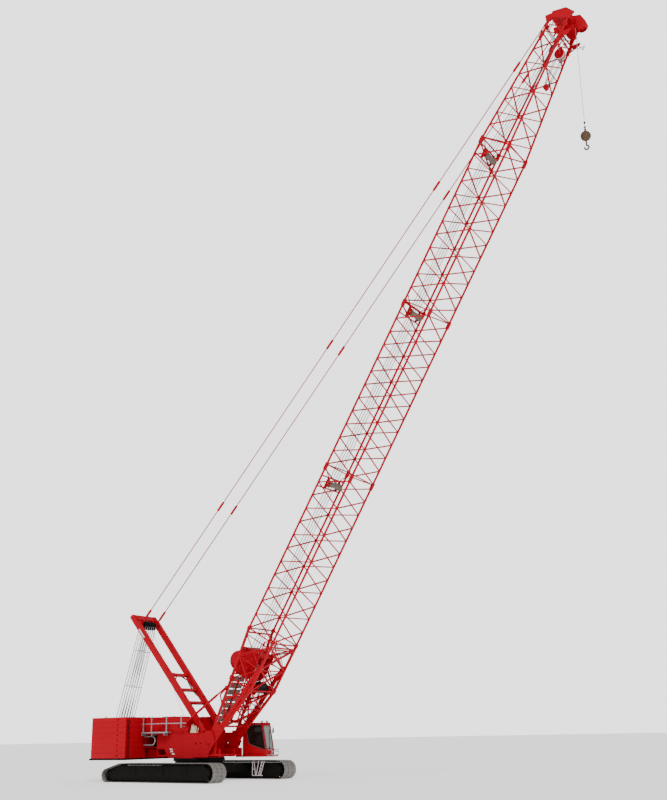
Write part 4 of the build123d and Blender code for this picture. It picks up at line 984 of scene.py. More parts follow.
def buttInnards():
    # the pipe work and walkway frame between the butt's sides
    n = innardShape
    maker = Maker(boomFrame)
    for a, b in n["bays"]:
        for side in (-1, 1):
            near = buttPoint(a, side, -1)
            inner = buttMiddle(b, side * n["railAt"])
            for start in (near, buttPoint(b, side, -1), buttPoint(a, side, 1) * 0.5 + near * 0.5):
                maker.tube([start, inner], n["bar"])
        maker.tube([buttMiddle(b, -n["railAt"]), buttMiddle(b, n["railAt"])], n["bar"])
    for side in (-1, 1):
        maker.tube([buttMiddle(a, side * n["railAt"]) for a in n["railStations"]], n["rail"])
        # hydraulic pipes that climb to the winches
        for shift in n["pipeShifts"]:
            maker.tube([(x, side * (y + shift), z) for x, y, z in n["pipeRoute"]], n["pipe"])
    return settle(maker.done("butt_innards", paints["machine_red"]), "boom", "machine_red")


gratingShape = {
    "rows": (0.8, 1.03, 1.26, 1.49, 1.72, 1.95, 2.18), "columns": (-0.54, -0.18), "half": (0.092, 0.15),
    "drop": 0.035, "rim": 0.008, "rimHeights": (-0.02, 0.01), "bars": 8, "bar": 0.009, "barMargin": 0.004,
    "barHeights": (-0.018, 0.006), "edgeGap": 0.012, "edge": 0.012, "edgeRun": (0.66, 2.25),
    "edgeDrop": 0.045,
    "beams": (-0.36, 0.02, 0.36), "beam": 0.026, "beamRun": (0.66, 2.3), "beamDrop": 0.09,
    "ties": (0.68, 1.14, 1.6, 2.06),
    "tie": 0.02, "tieEnd": 0.66, "tieDrop": 0.08, "cross": 0.016, "crossRun": 0.46, "crossInner": 0.4,
    "crossRise": 0.02,
}


def underBack(run, y, drop):
    return [Vector((along, y, buttPoint(along, 1, 1).z - drop)) for along in run]


def buttGratings():
    # step gratings in two columns on the back of the butt
    g = gratingShape
    halfA, halfY = g["half"]
    maker = Maker(boomFrame)
    for along in g["rows"]:
        for y in g["columns"]:
            z = buttPoint(along, 1, 1).z - g["drop"]
            rim = [z + rise for rise in g["rimHeights"]]
            maker.box(along - halfA, along + halfA, y - halfY, y - halfY + g["rim"], *rim)
            maker.box(along - halfA, along + halfA, y + halfY - g["rim"], y + halfY, *rim)
            for k in range(g["bars"]):
                x = along - halfA + g["barMargin"] + k * (2 * halfA - 2 * g["barMargin"]) / (g["bars"] - 1)
                maker.box(x - g["bar"], x + g["bar"], y - halfY, y + halfY,
                          *(z + rise for rise in g["barHeights"]))
    for y in g["columns"]:
        for edge in (-halfY - g["edgeGap"], halfY + g["edgeGap"]):
            maker.tube(underBack(g["edgeRun"], y + edge, g["edgeDrop"]), g["edge"])
    settle(maker.done("butt_gratings", gratingFinish), "boom", "sheave_brown")
    maker = Maker(boomFrame)
    for y in g["beams"]:
        maker.tube(underBack(g["beamRun"], y, g["beamDrop"]), g["beam"])
    near, far = g["crossInner"], g["tieEnd"]
    for along in g["ties"]:
        z = buttPoint(along, 1, 1).z - g["tieDrop"]
        maker.tube([(along, -far, z), (along, far, z)], g["tie"])
        for a, b in ((near, far), (far, near)):
            maker.tube([(along, a, z), (along + g["crossRun"], b, z + g["crossRise"])], g["cross"])
    settle(maker.done("grating_frame", paints["machine_red"]), "boom", "machine_red")


winchShape = {
    # each drum: x, z, radius, flange
    "drums": [(2.7, 0.64, 0.2, 0.32), (2.7, 0.11, 0.13, 0.19)], "half": 0.38, "rope": 0.008,
    "bolts": 8, "boltCircle": 0.75, "bolt": 0.012, "boltHalf": 0.006, "wall": 0.024, "ropeBand": 0.012,
    "caseFaces": (0.42, 0.55), "caseCore": (0.01, 0.02),
    "case": [(0, 0.8), (0.03, 0.8), (0.04, 0.62), (0.12, 0.6)],
}


def drumProfile(radius, flange, half, rope):
    # hub, flange with a turned rim, then layers of rope side by side
    end = [(-half - 0.04, 0.01), (-half - 0.04, radius * 0.45), (-half, radius * 0.45), (-half, flange),
           (-half + 0.006, flange), (-half + 0.006, flange - 0.02), (-half + 0.022, flange - 0.03)]
    turns = int((half - 0.03) / (2 * rope))
    middle = []
    for k in range(-turns, turns):
        y = (k + 0.5) * 2 * rope
        middle += [(y - rope * 0.9, radius + rope * 0.2), (y, radius + rope),
                   (y + rope * 0.9, radius + rope * 0.2)]
    return end + middle + [(-y, r) for y, r in reversed(end)]


deckDrum = {"spots": ((-0.33, 1.27), (0.33, 1.27)), "radius": 0.17, "flange": 0.24, "half": 0.21,
            "rope": 0.007}


rollerShape = {
    "at": (2.2, -0.42), "drum": (0.11, 0.15, 0.3, 0.008), "block": (2.28, 2.42, -0.2, 0.2, -0.5, -0.3),
    "topAt": (2.48, 0.18),
    "top": [(-0.2, 0.02), (-0.2, 0.12), (-0.16, 0.14), (0.16, 0.14), (0.2, 0.12), (0.2, 0.02)],
    "bracket": [(2.05, -0.57), (2.35, -0.57), (2.4, -0.3), (2.2, -0.25), (2.05, -0.4)],
    "bracketFaces": (0.345, 0.37),
    "arm": [(2.2, 0.36, -0.54), (2.2, 0.7, -0.54)], "armRadius": 0.028,
}


def paintRope(piece, frameMatrix, centres):
    # the rope layers get the rope finish, the flanges keep the first one
    piece.data.materials.append(paints["rope_grey"])
    inverse = frameMatrix.inverted()
    for face in piece.data.polygons:
        spot = inverse @ face.center
        for along, rise, radius, half in centres:
            depth = abs(math.hypot(spot.x - along, spot.z - rise) - radius)
            if abs(spot.y) < half - winchShape["wall"] and depth < winchShape["ropeBand"]:
                face.material_index = 1


def winchDrums():
    w = winchShape
    maker = Maker(boomFrame)
    for along, rise, radius, flange in w["drums"]:
        maker.lathe(along, rise, drumProfile(radius, flange, w["half"], w["rope"]), 56)
        circle = radius * w["boltCircle"]
        for side in (-1, 1):
            y = side * w["half"]
            for a in fullTurn(w["bolts"]):
                x, z = along + circle * math.cos(a), rise + circle * math.sin(a)
                maker.disc(x, z, y - w["boltHalf"], y + w["boltHalf"], w["bolt"], 6)
    piece = maker.done("butt_winch_drums", paints["machine_red"])
    paintRope(piece, boomFrame, [(x, z, radius, w["half"]) for x, z, radius, _ in w["drums"]])
    settle(piece, "boom", "machine_red", "butt_winches")
    d = deckDrum
    maker = Maker(bedFrame)
    for x, z in d["spots"]:
        maker.lathe(x, z, drumProfile(d["radius"], d["flange"], d["half"], d["rope"]), 48)
    piece = maker.done("deck_winch_drums", paints["grey_steel"])
    paintRope(piece, bedFrame, [(x, z, d["radius"], d["half"]) for x, z in d["spots"]])
    settle(piece, "upperworks", "grey_steel", "deck_drums")


def winchHousing():
    # the motor case and brake covers beside the drums, and the small rope roller low in the butt
    w = winchShape
    near, far = w["caseFaces"]
    core, endCore = w["caseCore"]
    maker = Maker(boomFrame)
    for side in (-1, 1):
        for along, rise, radius, _ in w["drums"]:
            profile = [(near, core)] + [(near + depth, radius * share) for depth, share in w["case"]]
            profile.append((far, endCore))
            maker.lathe(along, rise, [(side * y, r) for y, r in profile], 32)
    settle(maker.done("winch_motor_cases", paints["machine_red"], bevel=0.003), "boom", "machine_red")
    r = rollerShape
    maker = Maker(boomFrame)
    maker.lathe(*r["at"], drumProfile(*r["drum"]), 40)
    maker.box(*r["block"])
    maker.lathe(*r["topAt"], r["top"], 30)
    settle(maker.done("butt_rope_roller", paints["wheel_steel"], bevel=0.003), "boom", "wheel_steel")
    maker = Maker(boomFrame)
    for side in (-1, 1):
        maker.plate(r["bracket"], side * r["bracketFaces"][0], side * r["bracketFaces"][1])
        maker.tube([(x, side * y, z) for x, y, z in r["arm"]], r["armRadius"])
    settle(maker.done("roller_brackets", paints["machine_red"], bevel=0.002), "boom", "machine_red")


boomLines()
ropeBarrels()
buttStruts()
buttInnards()
buttGratings()
winchDrums()
winchHousing()
print("boom butt done")


# operator's cab
cabShape = {
    "inner": 0.88, "outer": 1.37, "wall": 0.025, "pillar": 0.045, "margin": 0.07, "rear": 1.19,
    "nose": 2.165,
    "floor": 0.775, "sill": 0.8, "ceiling": 1.826, "roof": 1.85, "roofRear": 1.24, "roofFront": 1.985,
    "frontLow": (2.171, 0.935), "frontHigh": (2.012, 1.815), "frontThick": 0.026, "glass": (0.985, 1.745),
    "hatch": (1.56, 1.83), "rearPane": (1.35, 1.76), "seal": 0.007,
    "outline": [(1.19, 0.775), (1.6, 0.775), (2.165, 0.775), (2.171, 0.935), (2.09, 1.4), (2.012, 1.815),
                (1.985, 1.85), (1.24, 1.85), (1.19, 1.81)],
    "window": [(1.46, 1.16), (1.75, 1.066), (2.05, 0.978), (2.128, 0.957), (2.055, 1.4), (1.972, 1.765),
               (1.955, 1.78), (1.38, 1.76), (1.35, 1.6)],
    "doorway": [(1.45, 0.83), (1.6, 0.83), (2.01, 0.83), (2.01, 0.96), (1.93, 1.4), (1.86, 1.76),
                (1.85, 1.815), (1.46, 1.815), (1.45, 1.8)],
    "doorRail": (1.19, 1.905, 0.006, 0.022), "gutter": [(1.3, 1.79), (1.965, 1.808), (2.02, 1.77)],
    "gutterRadius": 0.008,
    "lip": [(1.96, 1.85), (2.03, 1.835), (2.045, 1.815), (2.012, 1.815), (1.985, 1.85)],
}


def shrunk(outline, amount):
    middle = sum((Vector(p) for p in outline), Vector((0, 0))) / len(outline)
    return [tuple(Vector(p) + (middle - Vector(p)).normalized() * amount) for p in outline]


def frontX(z):
    # where the slanted front stands at a height
    low, high = cabShape["frontLow"], cabShape["frontHigh"]
    return low[0] + (high[0] - low[0]) * (z - low[1]) / (high[1] - low[1])


def cabBody():
    c = cabShape
    y0, y1, wall, rear, sill, ceiling, roof, thick = (c[k] for k in (
        "inner", "outer", "wall", "rear", "sill", "ceiling", "roof", "frontThick"))
    side0, side1 = y0 + wall, y1 - wall
    low, high = c["glass"]
    paneLow, paneHigh = c["rearPane"]
    maker = Maker(bedFrame)
    maker.frame(c["outline"], c["window"], y0, y0 + wall)
    maker.frame(c["outline"], c["doorway"], y1 - wall, y1)
    maker.box(rear, c["nose"], side0, side1, c["floor"], sill)
    maker.box(c["roofRear"], c["hatch"][0], side0, side1, ceiling, roof)
    maker.box(c["hatch"][1], c["roofFront"], side0, side1, ceiling, roof)
    margins = ((side0, y0 + c["margin"]), (y1 - c["margin"], side1))
    for a, b in margins:
        maker.box(*c["hatch"], a, b, ceiling, roof)
    maker.plate([(rear, sill), (rear + wall, sill), (rear + wall, paneLow), (rear, paneLow)], side0, side1)
    maker.plate([(rear, paneHigh), (rear + wall, paneHigh), (1.262, ceiling), (c["roofRear"], roof),
                 (rear, 1.81)],
                side0, side1)
    for a, b in margins:
        maker.box(rear, rear + wall, a, b, paneLow, paneHigh)
    maker.plate([(c["nose"] - 0.025, sill), (c["nose"], sill), c["frontLow"], (frontX(low), low),
                 (frontX(low) - thick, low)], side0, side1)
    maker.plate([(frontX(high) - thick, high), (frontX(high), high), c["frontHigh"], (c["roofFront"], roof),
                 (1.96, ceiling)], side0, side1)
    for a, b in ((side0, y0 + c["pillar"]), (y1 - c["pillar"], side1)):
        maker.plate([(frontX(low) - thick, low), (frontX(low), low), (frontX(high), high),
                     (frontX(high) - thick, high)],
                    a, b)
    x0, x1, deep, rise = c["doorRail"]
    for z in (sill, ceiling):
        maker.box(x0, x1, y1, y1 + deep, z, z + rise)
    # rain gutter over the side window and a lip over the windshield
    maker.tube([(x, y0 - 0.006, z) for x, z in c["gutter"]], c["gutterRadius"])
    maker.plate(c["lip"], y0 + 0.02, y1 - 0.02)
    return settle(maker.done("cab_body", paints["machine_red"], bevel=0.006), "upperworks", "machine_red",
                  "cab_shell")


def cabPanes():
    c = cabShape
    y0, y1 = c["inner"], c["outer"]
    low, high = c["glass"]
    maker = Maker(bedFrame)
    maker.plate(shrunk(c["window"], -0.004), y0 + 0.009, y0 + 0.015)
    settle(maker.done("cab_side_pane", sideGlass), "upperworks", "cab_glass", "cab_glass")
    maker = Maker(bedFrame)
    maker.plate([(frontX(low) - 0.018, low), (frontX(low) - 0.01, low), (frontX(high) - 0.01, high),
                 (frontX(high) - 0.018, high)], y0 + c["pillar"], y1 - c["pillar"])
    settle(maker.done("cab_windshield", windshieldGlass), "upperworks", "cab_glass")
    maker = Maker(bedFrame)
    maker.box(*c["hatch"], y0 + c["margin"], y1 - c["margin"], c["ceiling"] + 0.008, c["roof"] - 0.008)
    maker.box(c["rear"] + 0.008, c["rear"] + 0.016, y0 + c["margin"], y1 - c["margin"], *c["rearPane"])
    settle(maker.done("cab_small_panes", sideGlass), "upperworks", "cab_glass")
    # dark seals round the panes
    maker = Maker(bedFrame)
    maker.frame(shrunk(c["window"], -0.012), shrunk(c["window"], 0.012), y0 - 0.004, y0 + 0.007)
    a, b = y0 + c["pillar"], y1 - c["pillar"]
    corners = [(frontX(low) + 0.001, low + 0.005), (frontX(high) + 0.001, high - 0.005)]
    for y in (a, b):
        maker.tube([(x, y, z) for x, z in corners], c["seal"])
    for x, z in corners:
        maker.tube([(x, a, z), (x, b, z)], c["seal"])
    settle(maker.done("cab_seals", paints["seat_black"]), "upperworks", "seat_black")


liningShape = {
    "gap": 0.002, "thick": 0.004, "roofBoard": (1.23, 1.94), "boardHeights": (1.818, 1.824),
    "hatchBoard": (1.84, 1.955),
    "mat": (1.22, 2.13, 0.802, 0.812), "back": (1.218, 1.226, 0.82, 1.34), "leverAt": (1.08, 1.16),
    "leverRadius": 0.009,
    "dashboard": [(1.99, 0.812), (2.12, 0.812), (2.11, 1.12), (2.03, 1.14), (1.97, 1.08)],
    "dashboardEnds": (1.0, 1.25),
    "monitor": [(1.985, 1.16), (2.005, 1.16), (1.99, 1.3), (1.97, 1.3)], "monitorEnds": (0.95, 1.08),
    "lever": [(1.95, 0.812), (1.93, 1.05), (1.9, 1.14)],
}


def cabLining():
    c, n = cabShape, liningShape
    y0, y1 = c["inner"] + c["wall"] + n["gap"], c["outer"] - c["wall"] - n["gap"]
    pane0, pane1 = c["inner"] + c["margin"], c["outer"] - c["margin"]
    maker = Maker(bedFrame)
    maker.frame(shrunk(c["outline"], 0.03), shrunk(c["doorway"], -0.01), y1 - n["thick"], y1)
    maker.frame(shrunk(c["outline"], 0.03), shrunk(c["window"], -0.008), y0, y0 + n["thick"])
    for x0, x1, z0, z1 in (n["mat"], n["back"]):
        maker.box(x0, x1, y0 + 0.01, y1 - 0.01, z0, z1)
    maker.box(*n["roofBoard"], y0 + 0.03, pane0, *n["boardHeights"])
    maker.box(*n["roofBoard"], pane1, y1 - 0.03, *n["boardHeights"])
    maker.box(*n["hatchBoard"], pane0, pane1, *n["boardHeights"])
    # dashboard, steering levers and a monitor
    maker.plate(n["dashboard"], *n["dashboardEnds"])
    maker.plate(n["monitor"], *n["monitorEnds"])
    for y in n["leverAt"]:
        maker.tube([(x, y, z) for x, z in n["lever"]], n["leverRadius"])
    return settle(maker.done("cab_lining", paints["console_grey"]), "upperworks", "console_grey")


fittingShape = {
    # the wiper's ends: height, y, gap to the glass
    "wiper": [(1.02, 1.08, 0.014), (1.52, 1.2, 0.012)],
    "wiperArm": [(1.2, 1.19, 0.012), (1.62, 1.22, 0.012)],
    "spindle": (0.99, 0.001, 0.024, 1.05, 1.11, 0.98, 1.03),
    "mirrorArm": [(2.02, 1.36, 1.7), (2.1, 1.372, 1.72), (2.13, 1.372, 1.66)], "mirrorEnds": (1.33, 1.396),
    "mirror": [(2.105, 1.5), (2.135, 1.49), (2.15, 1.64), (2.12, 1.66)],
    "rail": [(2.12, 0.79), (2.34, 0.79), (2.375, 0.83), (2.375, 0.93), (2.34, 0.96), (2.2, 0.96)],
    "railEnds": (0.93, 1.32),
    "railRadius": 0.011, "crossAt": (2.375, 0.9), "gripAt": 0.1, "gripRadius": 0.007,
    "grip": [(2.18, 1.0), (2.2, 1.02), (2.13, 1.35), (2.1, 1.35)],
    "slats": 9, "slatFrom": 2.2, "slatStep": 0.02, "slat": 0.006, "slatHeights": (0.776, 0.8),
    "stepRun": (2.19, 2.375), "stepRim": 0.01, "stepHeights": (0.772, 0.802),
    "lamps": (0.97, 1.28), "lampAt": (1.93, 1.885), "lamp": 0.03, "lampHalf": 0.045,
    "lampFoot": (0.01, 1.848, 1.86),
}


def cabFittings():
    f = fittingShape
    maker = Maker(bedFrame)
    # wiper, parallel arm and its spindle cover
    for route, radius in ((f["wiper"], 0.006), (f["wiperArm"], 0.005)):
        maker.tube([(frontX(z) + gap, y, z) for z, y, gap in route], radius, 6)
    at, near, far, *ends = f["spindle"]
    maker.box(frontX(at) + near, frontX(at) + far, *ends)
    # mirror on its bracket at the outer front corner
    maker.tube(f["mirrorArm"], 0.008)
    maker.plate(f["mirror"], *f["mirrorEnds"])
    settle(maker.done("cab_wiper_and_mirror", paints["wheel_steel"], bevel=0.002), "upperworks",
           "wheel_steel")
    maker = Maker(bedFrame)
    # bent grab rails at the front and a hand grip by the window
    left, right = f["railEnds"]
    for y in (left, right):
        maker.tube([(x, y, z) for x, z in f["rail"]], f["railRadius"])
    x, z = f["crossAt"]
    maker.tube([(x, left, z), (x, right, z)], f["railRadius"])
    maker.tube([(x, cabShape["inner"] + f["gripAt"], z) for x, z in f["grip"]], f["gripRadius"])
    rim = f["stepRim"]
    for k in range(f["slats"]):
        x = f["slatFrom"] + k * f["slatStep"]
        maker.box(x, x + f["slat"], left + rim, right - rim, *f["slatHeights"])
    for y in (left, right - rim):
        maker.box(*f["stepRun"], y, y + rim, *f["stepHeights"])
    settle(maker.done("cab_rails_and_step", paints["grey_steel"]), "upperworks", "grey_steel")
    maker = Maker(bedFrame)
    x, z = f["lampAt"]
    foot, low, high = f["lampFoot"]
    for y in f["lamps"]:
        maker.shaft(x, z, y - f["lampHalf"], y + f["lampHalf"], f["lamp"], 20, core=0.006)
        maker.box(x - foot, x + foot, y - foot, y + foot, low, high)
    settle(maker.done("cab_roof_lamps", cream), "upperworks", "grey_steel")


cabBody()
cabPanes()
cabLining()
cabFittings()
print("cab done")


# mast: plated beams, braces, a curved guard plate and thin ties
mastTrim = {
    "half": 0.076, "front": -0.118, "back": 0.0765, "plate": 0.012, "inset": 0.006,
    "ends": (0.26, 0.6, 4.85, 5.2), "endRises": (0.07, -0.09, -0.075), "flange": (0.62, 4.84),
    "flangeHalf": 0.006,
    "ears": (1.4, 2.6, 3.8), "ear": (0.02, 0.03, 0.01), "cross": 0.47, "brace": 0.026,
    "braceFrom": (-0.35, 0.06),
    "braceTo": (0.02, 0.5), "tie": 0.014, "ties": (-0.055, 0.055), "tieFrom": -0.3, "tieTo": (0.2, -0.36),
    "tieRise": 0.03,
    "tieBlock": (0.05, 0.06, -0.4, -0.2, -0.05, 0.07), "guardRises": (0.055, 0.047),
    "guard": [(2.46, 0.47), (2.2, 0.36), (1.9, 0.32), (1.62, 0.36), (1.5, 0.46), (1.62, 0.45), (1.9, 0.42),
              (2.2, 0.45)],
    "blank": [(4.16, -0.03), (4.56, -0.03), (4.56, 0.03), (4.16, 0.03)], "blankGap": 0.001,
    "blankThick": 0.004,
}


def mastPoint(along, side, shift=0.0, rise=0.0):
    spread = mastShape["foot"] + (mastShape["half"] - mastShape["foot"]) * along / mastShape["length"]
    return Vector((along, side * spread + shift, rise))


def mastPlates():
    m = mastTrim
    start, low, high, end = m["ends"]
    topRise, endRise, footRise = m["endRises"]
    outline = [(start, topRise), (low, m["back"]), (high, m["back"]), (end, topRise),
               (end, endRise), (high, m["front"]), (low, m["front"]), (start, footRise)]
    thin = Vector((0, m["plate"] / 2, 0))
    maker = Maker(mastFrame)
    for side in (-1, 1):
        for face in (-1, 1):
            shift = face * (m["half"] - m["plate"] / 2 - m["inset"])
            middle = [mastPoint(along, side, shift, rise) for along, rise in outline]
            maker.quadStrip([[spot + thin for spot in middle], [spot - thin for spot in middle]])
        # flange along the front of the beam
        rim = [(-1, -1), (1, -1), (1, 1), (-1, 1)]
        spots = [mastPoint(along, side, 0, m["front"] + m["plate"]) for along in m["flange"]]
        maker.quadStrip([[spot + Vector((0, y * m["half"], z * m["flangeHalf"])) for y, z in rim]
                         for spot in spots])
        # ears for hoses along the beam
        run, wide, rise = m["ear"]
        for along in m["ears"]:
            spot = mastPoint(along, side, 0, m["front"])
            maker.box(along - run, along + run, spot.y - wide, spot.y + wide, spot.z - wide, spot.z + rise)
    # brace pair and thin ties above the upper cross piece
    along = mastShape["length"] * m["cross"]
    for side in (-1, 1):
        maker.tube([mastPoint(along + run, side, -side * shift)
                    for run, shift in (m["braceFrom"], m["braceTo"])],
                   m["brace"], 10)
    back, aside = m["tieTo"]
    for shift in m["ties"]:
        maker.tube([(along, m["tieFrom"] + shift, m["tieRise"]),
                    (mastShape["pin"] - back, aside + shift, m["tieRise"])],
                   m["tie"])
    before, after, *ends = m["tieBlock"]
    maker.box(along - before, along + after, *ends)
    settle(maker.done("mast_plates", paints["machine_red"], bevel=0.002), "mast", "machine_red")
    maker = Maker(mastFrame)
    # curved guard plate beside the far beam
    maker.quadStrip([[(along, y, rise) for along, y in m["guard"]] for rise in m["guardRises"]])
    settle(maker.done("mast_guard_plate", paints["grey_steel"]), "mast", "grey_steel")
    maker = Maker(mastFrame)
    y = -mastShape["half"] - m["half"] - m["blankGap"]
    maker.plate(m["blank"], y, y + m["blankThick"])
    settle(maker.done("mast_blank_plate", plateWhite), "mast", "grey_steel")


mastPlates()
print("mast done")


# boom head fittings
gaugeShape = {
    # places along the boom count from the head's start
    "arms": [((0.03, 0.46, -0.35), 0.012), ((0.31, 0.46, -0.36), 0.012)], "armEnd": (0.25, 0.48, -0.73),
    "post": [(0.25, 0.48, -0.72), (0.253, 0.48, -0.81)], "postRadius": 0.016,
    "bar": [(0.2, 0.48, -0.82), (0.31, 0.48, -0.8)], "barRadius": 0.01,
    "cups": (0.2, 0.31), "cupRise": -0.81,
    "cup": [(0.45, 0.004), (0.46, 0.026), (0.5, 0.026), (0.51, 0.004)],
    "lampAt": (0.12, -0.26), "lamp": [(0.14, 0.006), (0.14, 0.05), (0.2, 0.06), (0.26, 0.05),
                                      (0.26, 0.006)],
}


rollerSet = {
    "at": (0.3, 0.34), "middles": (-0.3, -0.1, 0.1, 0.3), "axle": 0.012, "axleEnd": 0.42,
    "profile": [(-0.06, 0.01), (-0.06, 0.05), (-0.05, 0.06), (0.05, 0.06), (0.06, 0.05), (0.06, 0.01)],
}


parkedBlock = {
    "at": (-0.291, -0.282), "sheave": (0.165, 0.024, 0.05, 0.034), "redAt": (0.06, 0.2, 0.34),
    "paleAt": (0.13, 0.27),
    "cheeks": (0.03, 0.37), "cheekHalf": 0.006, "tie": (0.22, 0.02), "tieRadius": 0.02,
    "cheek": [(-0.19, -0.05), (0, -0.06), (0.24, -0.02), (0.24, 0.04), (0, 0.06), (-0.19, 0.04)],
    "lower": [(-1.55, -0.25), (-1.4, -0.24), (-1.38, -0.38), (-1.52, -0.4), (-1.6, -0.33)],
    "lowerEnds": (0.12, 0.28),
    "lowerSheaveAt": (-1.46, -0.31), "lowerSheave": (0.2, 0.08, 0.03, 0.03, 0.1),
    "falls": (0.1, 0.16, 0.24, 0.3),
    "fallShifts": (-0.1, 0.1), "fallFrom": (-0.05, 1.3), "fallTo": (-1.44, -0.31), "fallMiddle": 0.2,
    "fallShare": 0.5,
    "fallDrop": 0.7, "fall": 0.008,
}


headBracket = {
    "outline": [(0.2, 0.2), (0.4, 0.2), (0.35, 0.38), (0.25, 0.38)], "faces": (0.42, 0.44), "rib": 0.008,
    "ribs": [(0.12, 0.16, -0.3, 0.28), (0.38, 0.42, -0.36, 0.24), (0.12, 0.8, 0.1, 0.13)],
}


def fromHead(spots):
    return [(headShape["start"] + spot[0], *spot[1:]) for spot in spots]


def windGauge():
    g = gaugeShape
    maker = Maker(boomFrame)
    for foot, radius in g["arms"]:
        maker.tube(fromHead([foot, g["armEnd"]]), radius)
    maker.tube(fromHead(g["post"]), g["postRadius"])
    maker.tube(fromHead(g["bar"]), g["barRadius"])
    for along in g["cups"]:
        maker.lathe(headShape["start"] + along, g["cupRise"], g["cup"], 14)
    maker.lathe(headShape["start"] + g["lampAt"][0], g["lampAt"][1], g["lamp"], 20)
    settle(maker.done("wind_gauge", paints["grey_steel"]), "boom", "grey_steel")


def headRollers():
    r = rollerSet
    x, z = headShape["start"] + r["at"][0], r["at"][1]
    maker = Maker(boomFrame)
    for y in r["middles"]:
        maker.lathe(x, z, [(y + shift, radius) for shift, radius in r["profile"]], 20)
    maker.tube([(x, -r["axleEnd"], z), (x, r["axleEnd"], z)], r["axle"])
    settle(maker.done("head_rope_rollers", plateWhite), "boom", "sheave_brown")


def parkedHookBlock():
    # parked block with striped sheaves, its falls and the small lower block
    p = parkedBlock
    x, z = headShape["start"] + p["at"][0], p["at"][1]
    for finish, name, middles in ((paints["machine_red"], "parked_block_red", p["redAt"]),
                                  (plateWhite, "parked_block_pale", p["paleAt"])):
        maker = Maker(boomFrame)
        for y in middles:
            maker.lathe(x, z, sheaveProfile(y, *p["sheave"]), 32)
        settle(maker.done(name, finish), "boom", "machine_red")
    maker = Maker(boomFrame)
    for y in p["cheeks"]:
        maker.plate([(x + along, z + rise) for along, rise in p["cheek"]], y - p["cheekHalf"],
                    y + p["cheekHalf"])
    maker.tube([(x + p["tie"][0], y, z + p["tie"][1]) for y in p["cheeks"]], p["tieRadius"], 10)
    maker.plate(fromHead(p["lower"]), *p["lowerEnds"])
    maker.lathe(*fromHead([p["lowerSheaveAt"]])[0], sheaveProfile(*p["lowerSheave"]), 24)
    settle(maker.done("parked_block_cheeks", paints["machine_red"], bevel=0.002), "boom", "machine_red")
    maker = Maker(boomFrame)
    back, spread = p["fallFrom"]
    endX, endZ = fromHead([p["fallTo"]])[0]
    for y in p["falls"]:
        endY = p["fallMiddle"] + (y - p["fallMiddle"]) * p["fallShare"]
        for shift in p["fallShifts"]:
            maker.tube([(x + back, y, z + shift * spread), (endX, endY, endZ + shift * p["fallDrop"])],
                       p["fall"], 6)
    settle(maker.done("parked_block_falls", paints["rope_grey"]), "boom", "rope_grey")


def headBrackets():
    b = headBracket
    start = headShape["start"]
    maker = Maker(boomFrame)
    for side in (-1, 1):
        maker.plate(fromHead(b["outline"]), side * b["faces"][0], side * b["faces"][1])
    # stiffeners on the head's cheeks
    for y in (-headShape["half"] - b["rib"], headShape["half"]):
        for x0, x1, z0, z1 in b["ribs"]:
            maker.box(start + x0, start + x1, y, y + b["rib"], z0, z1)
    settle(maker.done("head_brackets", paints["machine_red"], bevel=0.002), "boom", "machine_red")


def headFittings():
    windGauge()
    headRollers()
    parkedHookBlock()
    headBrackets()


headFittings()
print("boom head done")


# small parts of the upperworks
plateRow = {"face": -0.79, "thick": 0.003, "labels": [(-0.6, 1.03), (-0.57, 0.955), (-0.5, 0.875)],
            "size": (0.11, 0.045)}


def sidePlates():
    maker = Maker(bedFrame)
    wide, high = plateRow["size"]
    for x, z in plateRow["labels"]:
        maker.box(x - wide / 2, x + wide / 2, plateRow["face"] - plateRow["thick"], plateRow["face"],
                  z - high / 2, z + high / 2)
    settle(maker.done("blank_plates", plateWhite), "upperworks", "grey_steel")


bedTrim = {
    "face": 0.79, "bolts": [(-0.6, 1.4), (-0.3, 1.4), (0.0, 1.4), (0.3, 1.4), (0.6, 1.4), (-0.55, 0.85),
                            (0.7, 0.85)],
    # each cap: x, z, radius
    "bolt": 0.014, "boltHead": 0.012, "caps": [(1.005, 1.242, 0.07), (0.555, 1.52, 0.035)],
    "capFaces": (0.795, 0.815, 0.82), "capChamfer": 0.7, "capCore": 0.004, "stripThick": 0.008,
    "strips": [(-0.7, 0.78, 1.515, 1.545), (-0.7, -0.67, 0.79, 1.515)],
}


def bedFastenings():
    t = bedTrim
    near, far, crown = t["capFaces"]
    maker = Maker(bedFrame)
    for side in (-1, 1):
        y = side * t["face"]
        for x, z in t["bolts"]:
            maker.disc(x, z, y, y + side * t["boltHead"], t["bolt"], 6)
        # retainer caps over the boom foot and mast foot pins
        for x, z, r in t["caps"]:
            profile = [(near, t["capCore"]), (near, r), (far, r), (crown, r * t["capChamfer"]),
                       (crown, t["capCore"])]
            maker.lathe(x, z, [(side * depth, radius) for depth, radius in profile], 28)
        for x0, x1, z0, z1 in t["strips"]:
            maker.box(x0, x1, y, y + side * t["stripThick"], z0, z1)
    return settle(maker.done("bed_fastenings", paints["machine_red"], bevel=0.002), "upperworks",
                  "machine_red")


weightTrim = {
    "front": -1.85, "columns": (1.5, 1.565), "from": 0.78, "step": 0.085, "count": 15, "half": 0.02,
    "high": 0.05,
    "depths": (-0.004, 0.002), "joints": (0.98, 1.26, 1.54, 1.82), "joint": 0.006, "sideRun": (-3.5, -1.9),
    "sideFaces": (1.598, 1.602), "frontFaces": (-1.852, -1.848), "frontRun": (0.66, 1.45),
    "eyes": (-3.3, -2.1),
    "eyeAt": 1.15, "eye": [(0, 2.1), (0.01, 2.13), (0.05, 2.15), (0.09, 2.13), (0.1, 2.1)],
    "eyeRadius": 0.012,
}


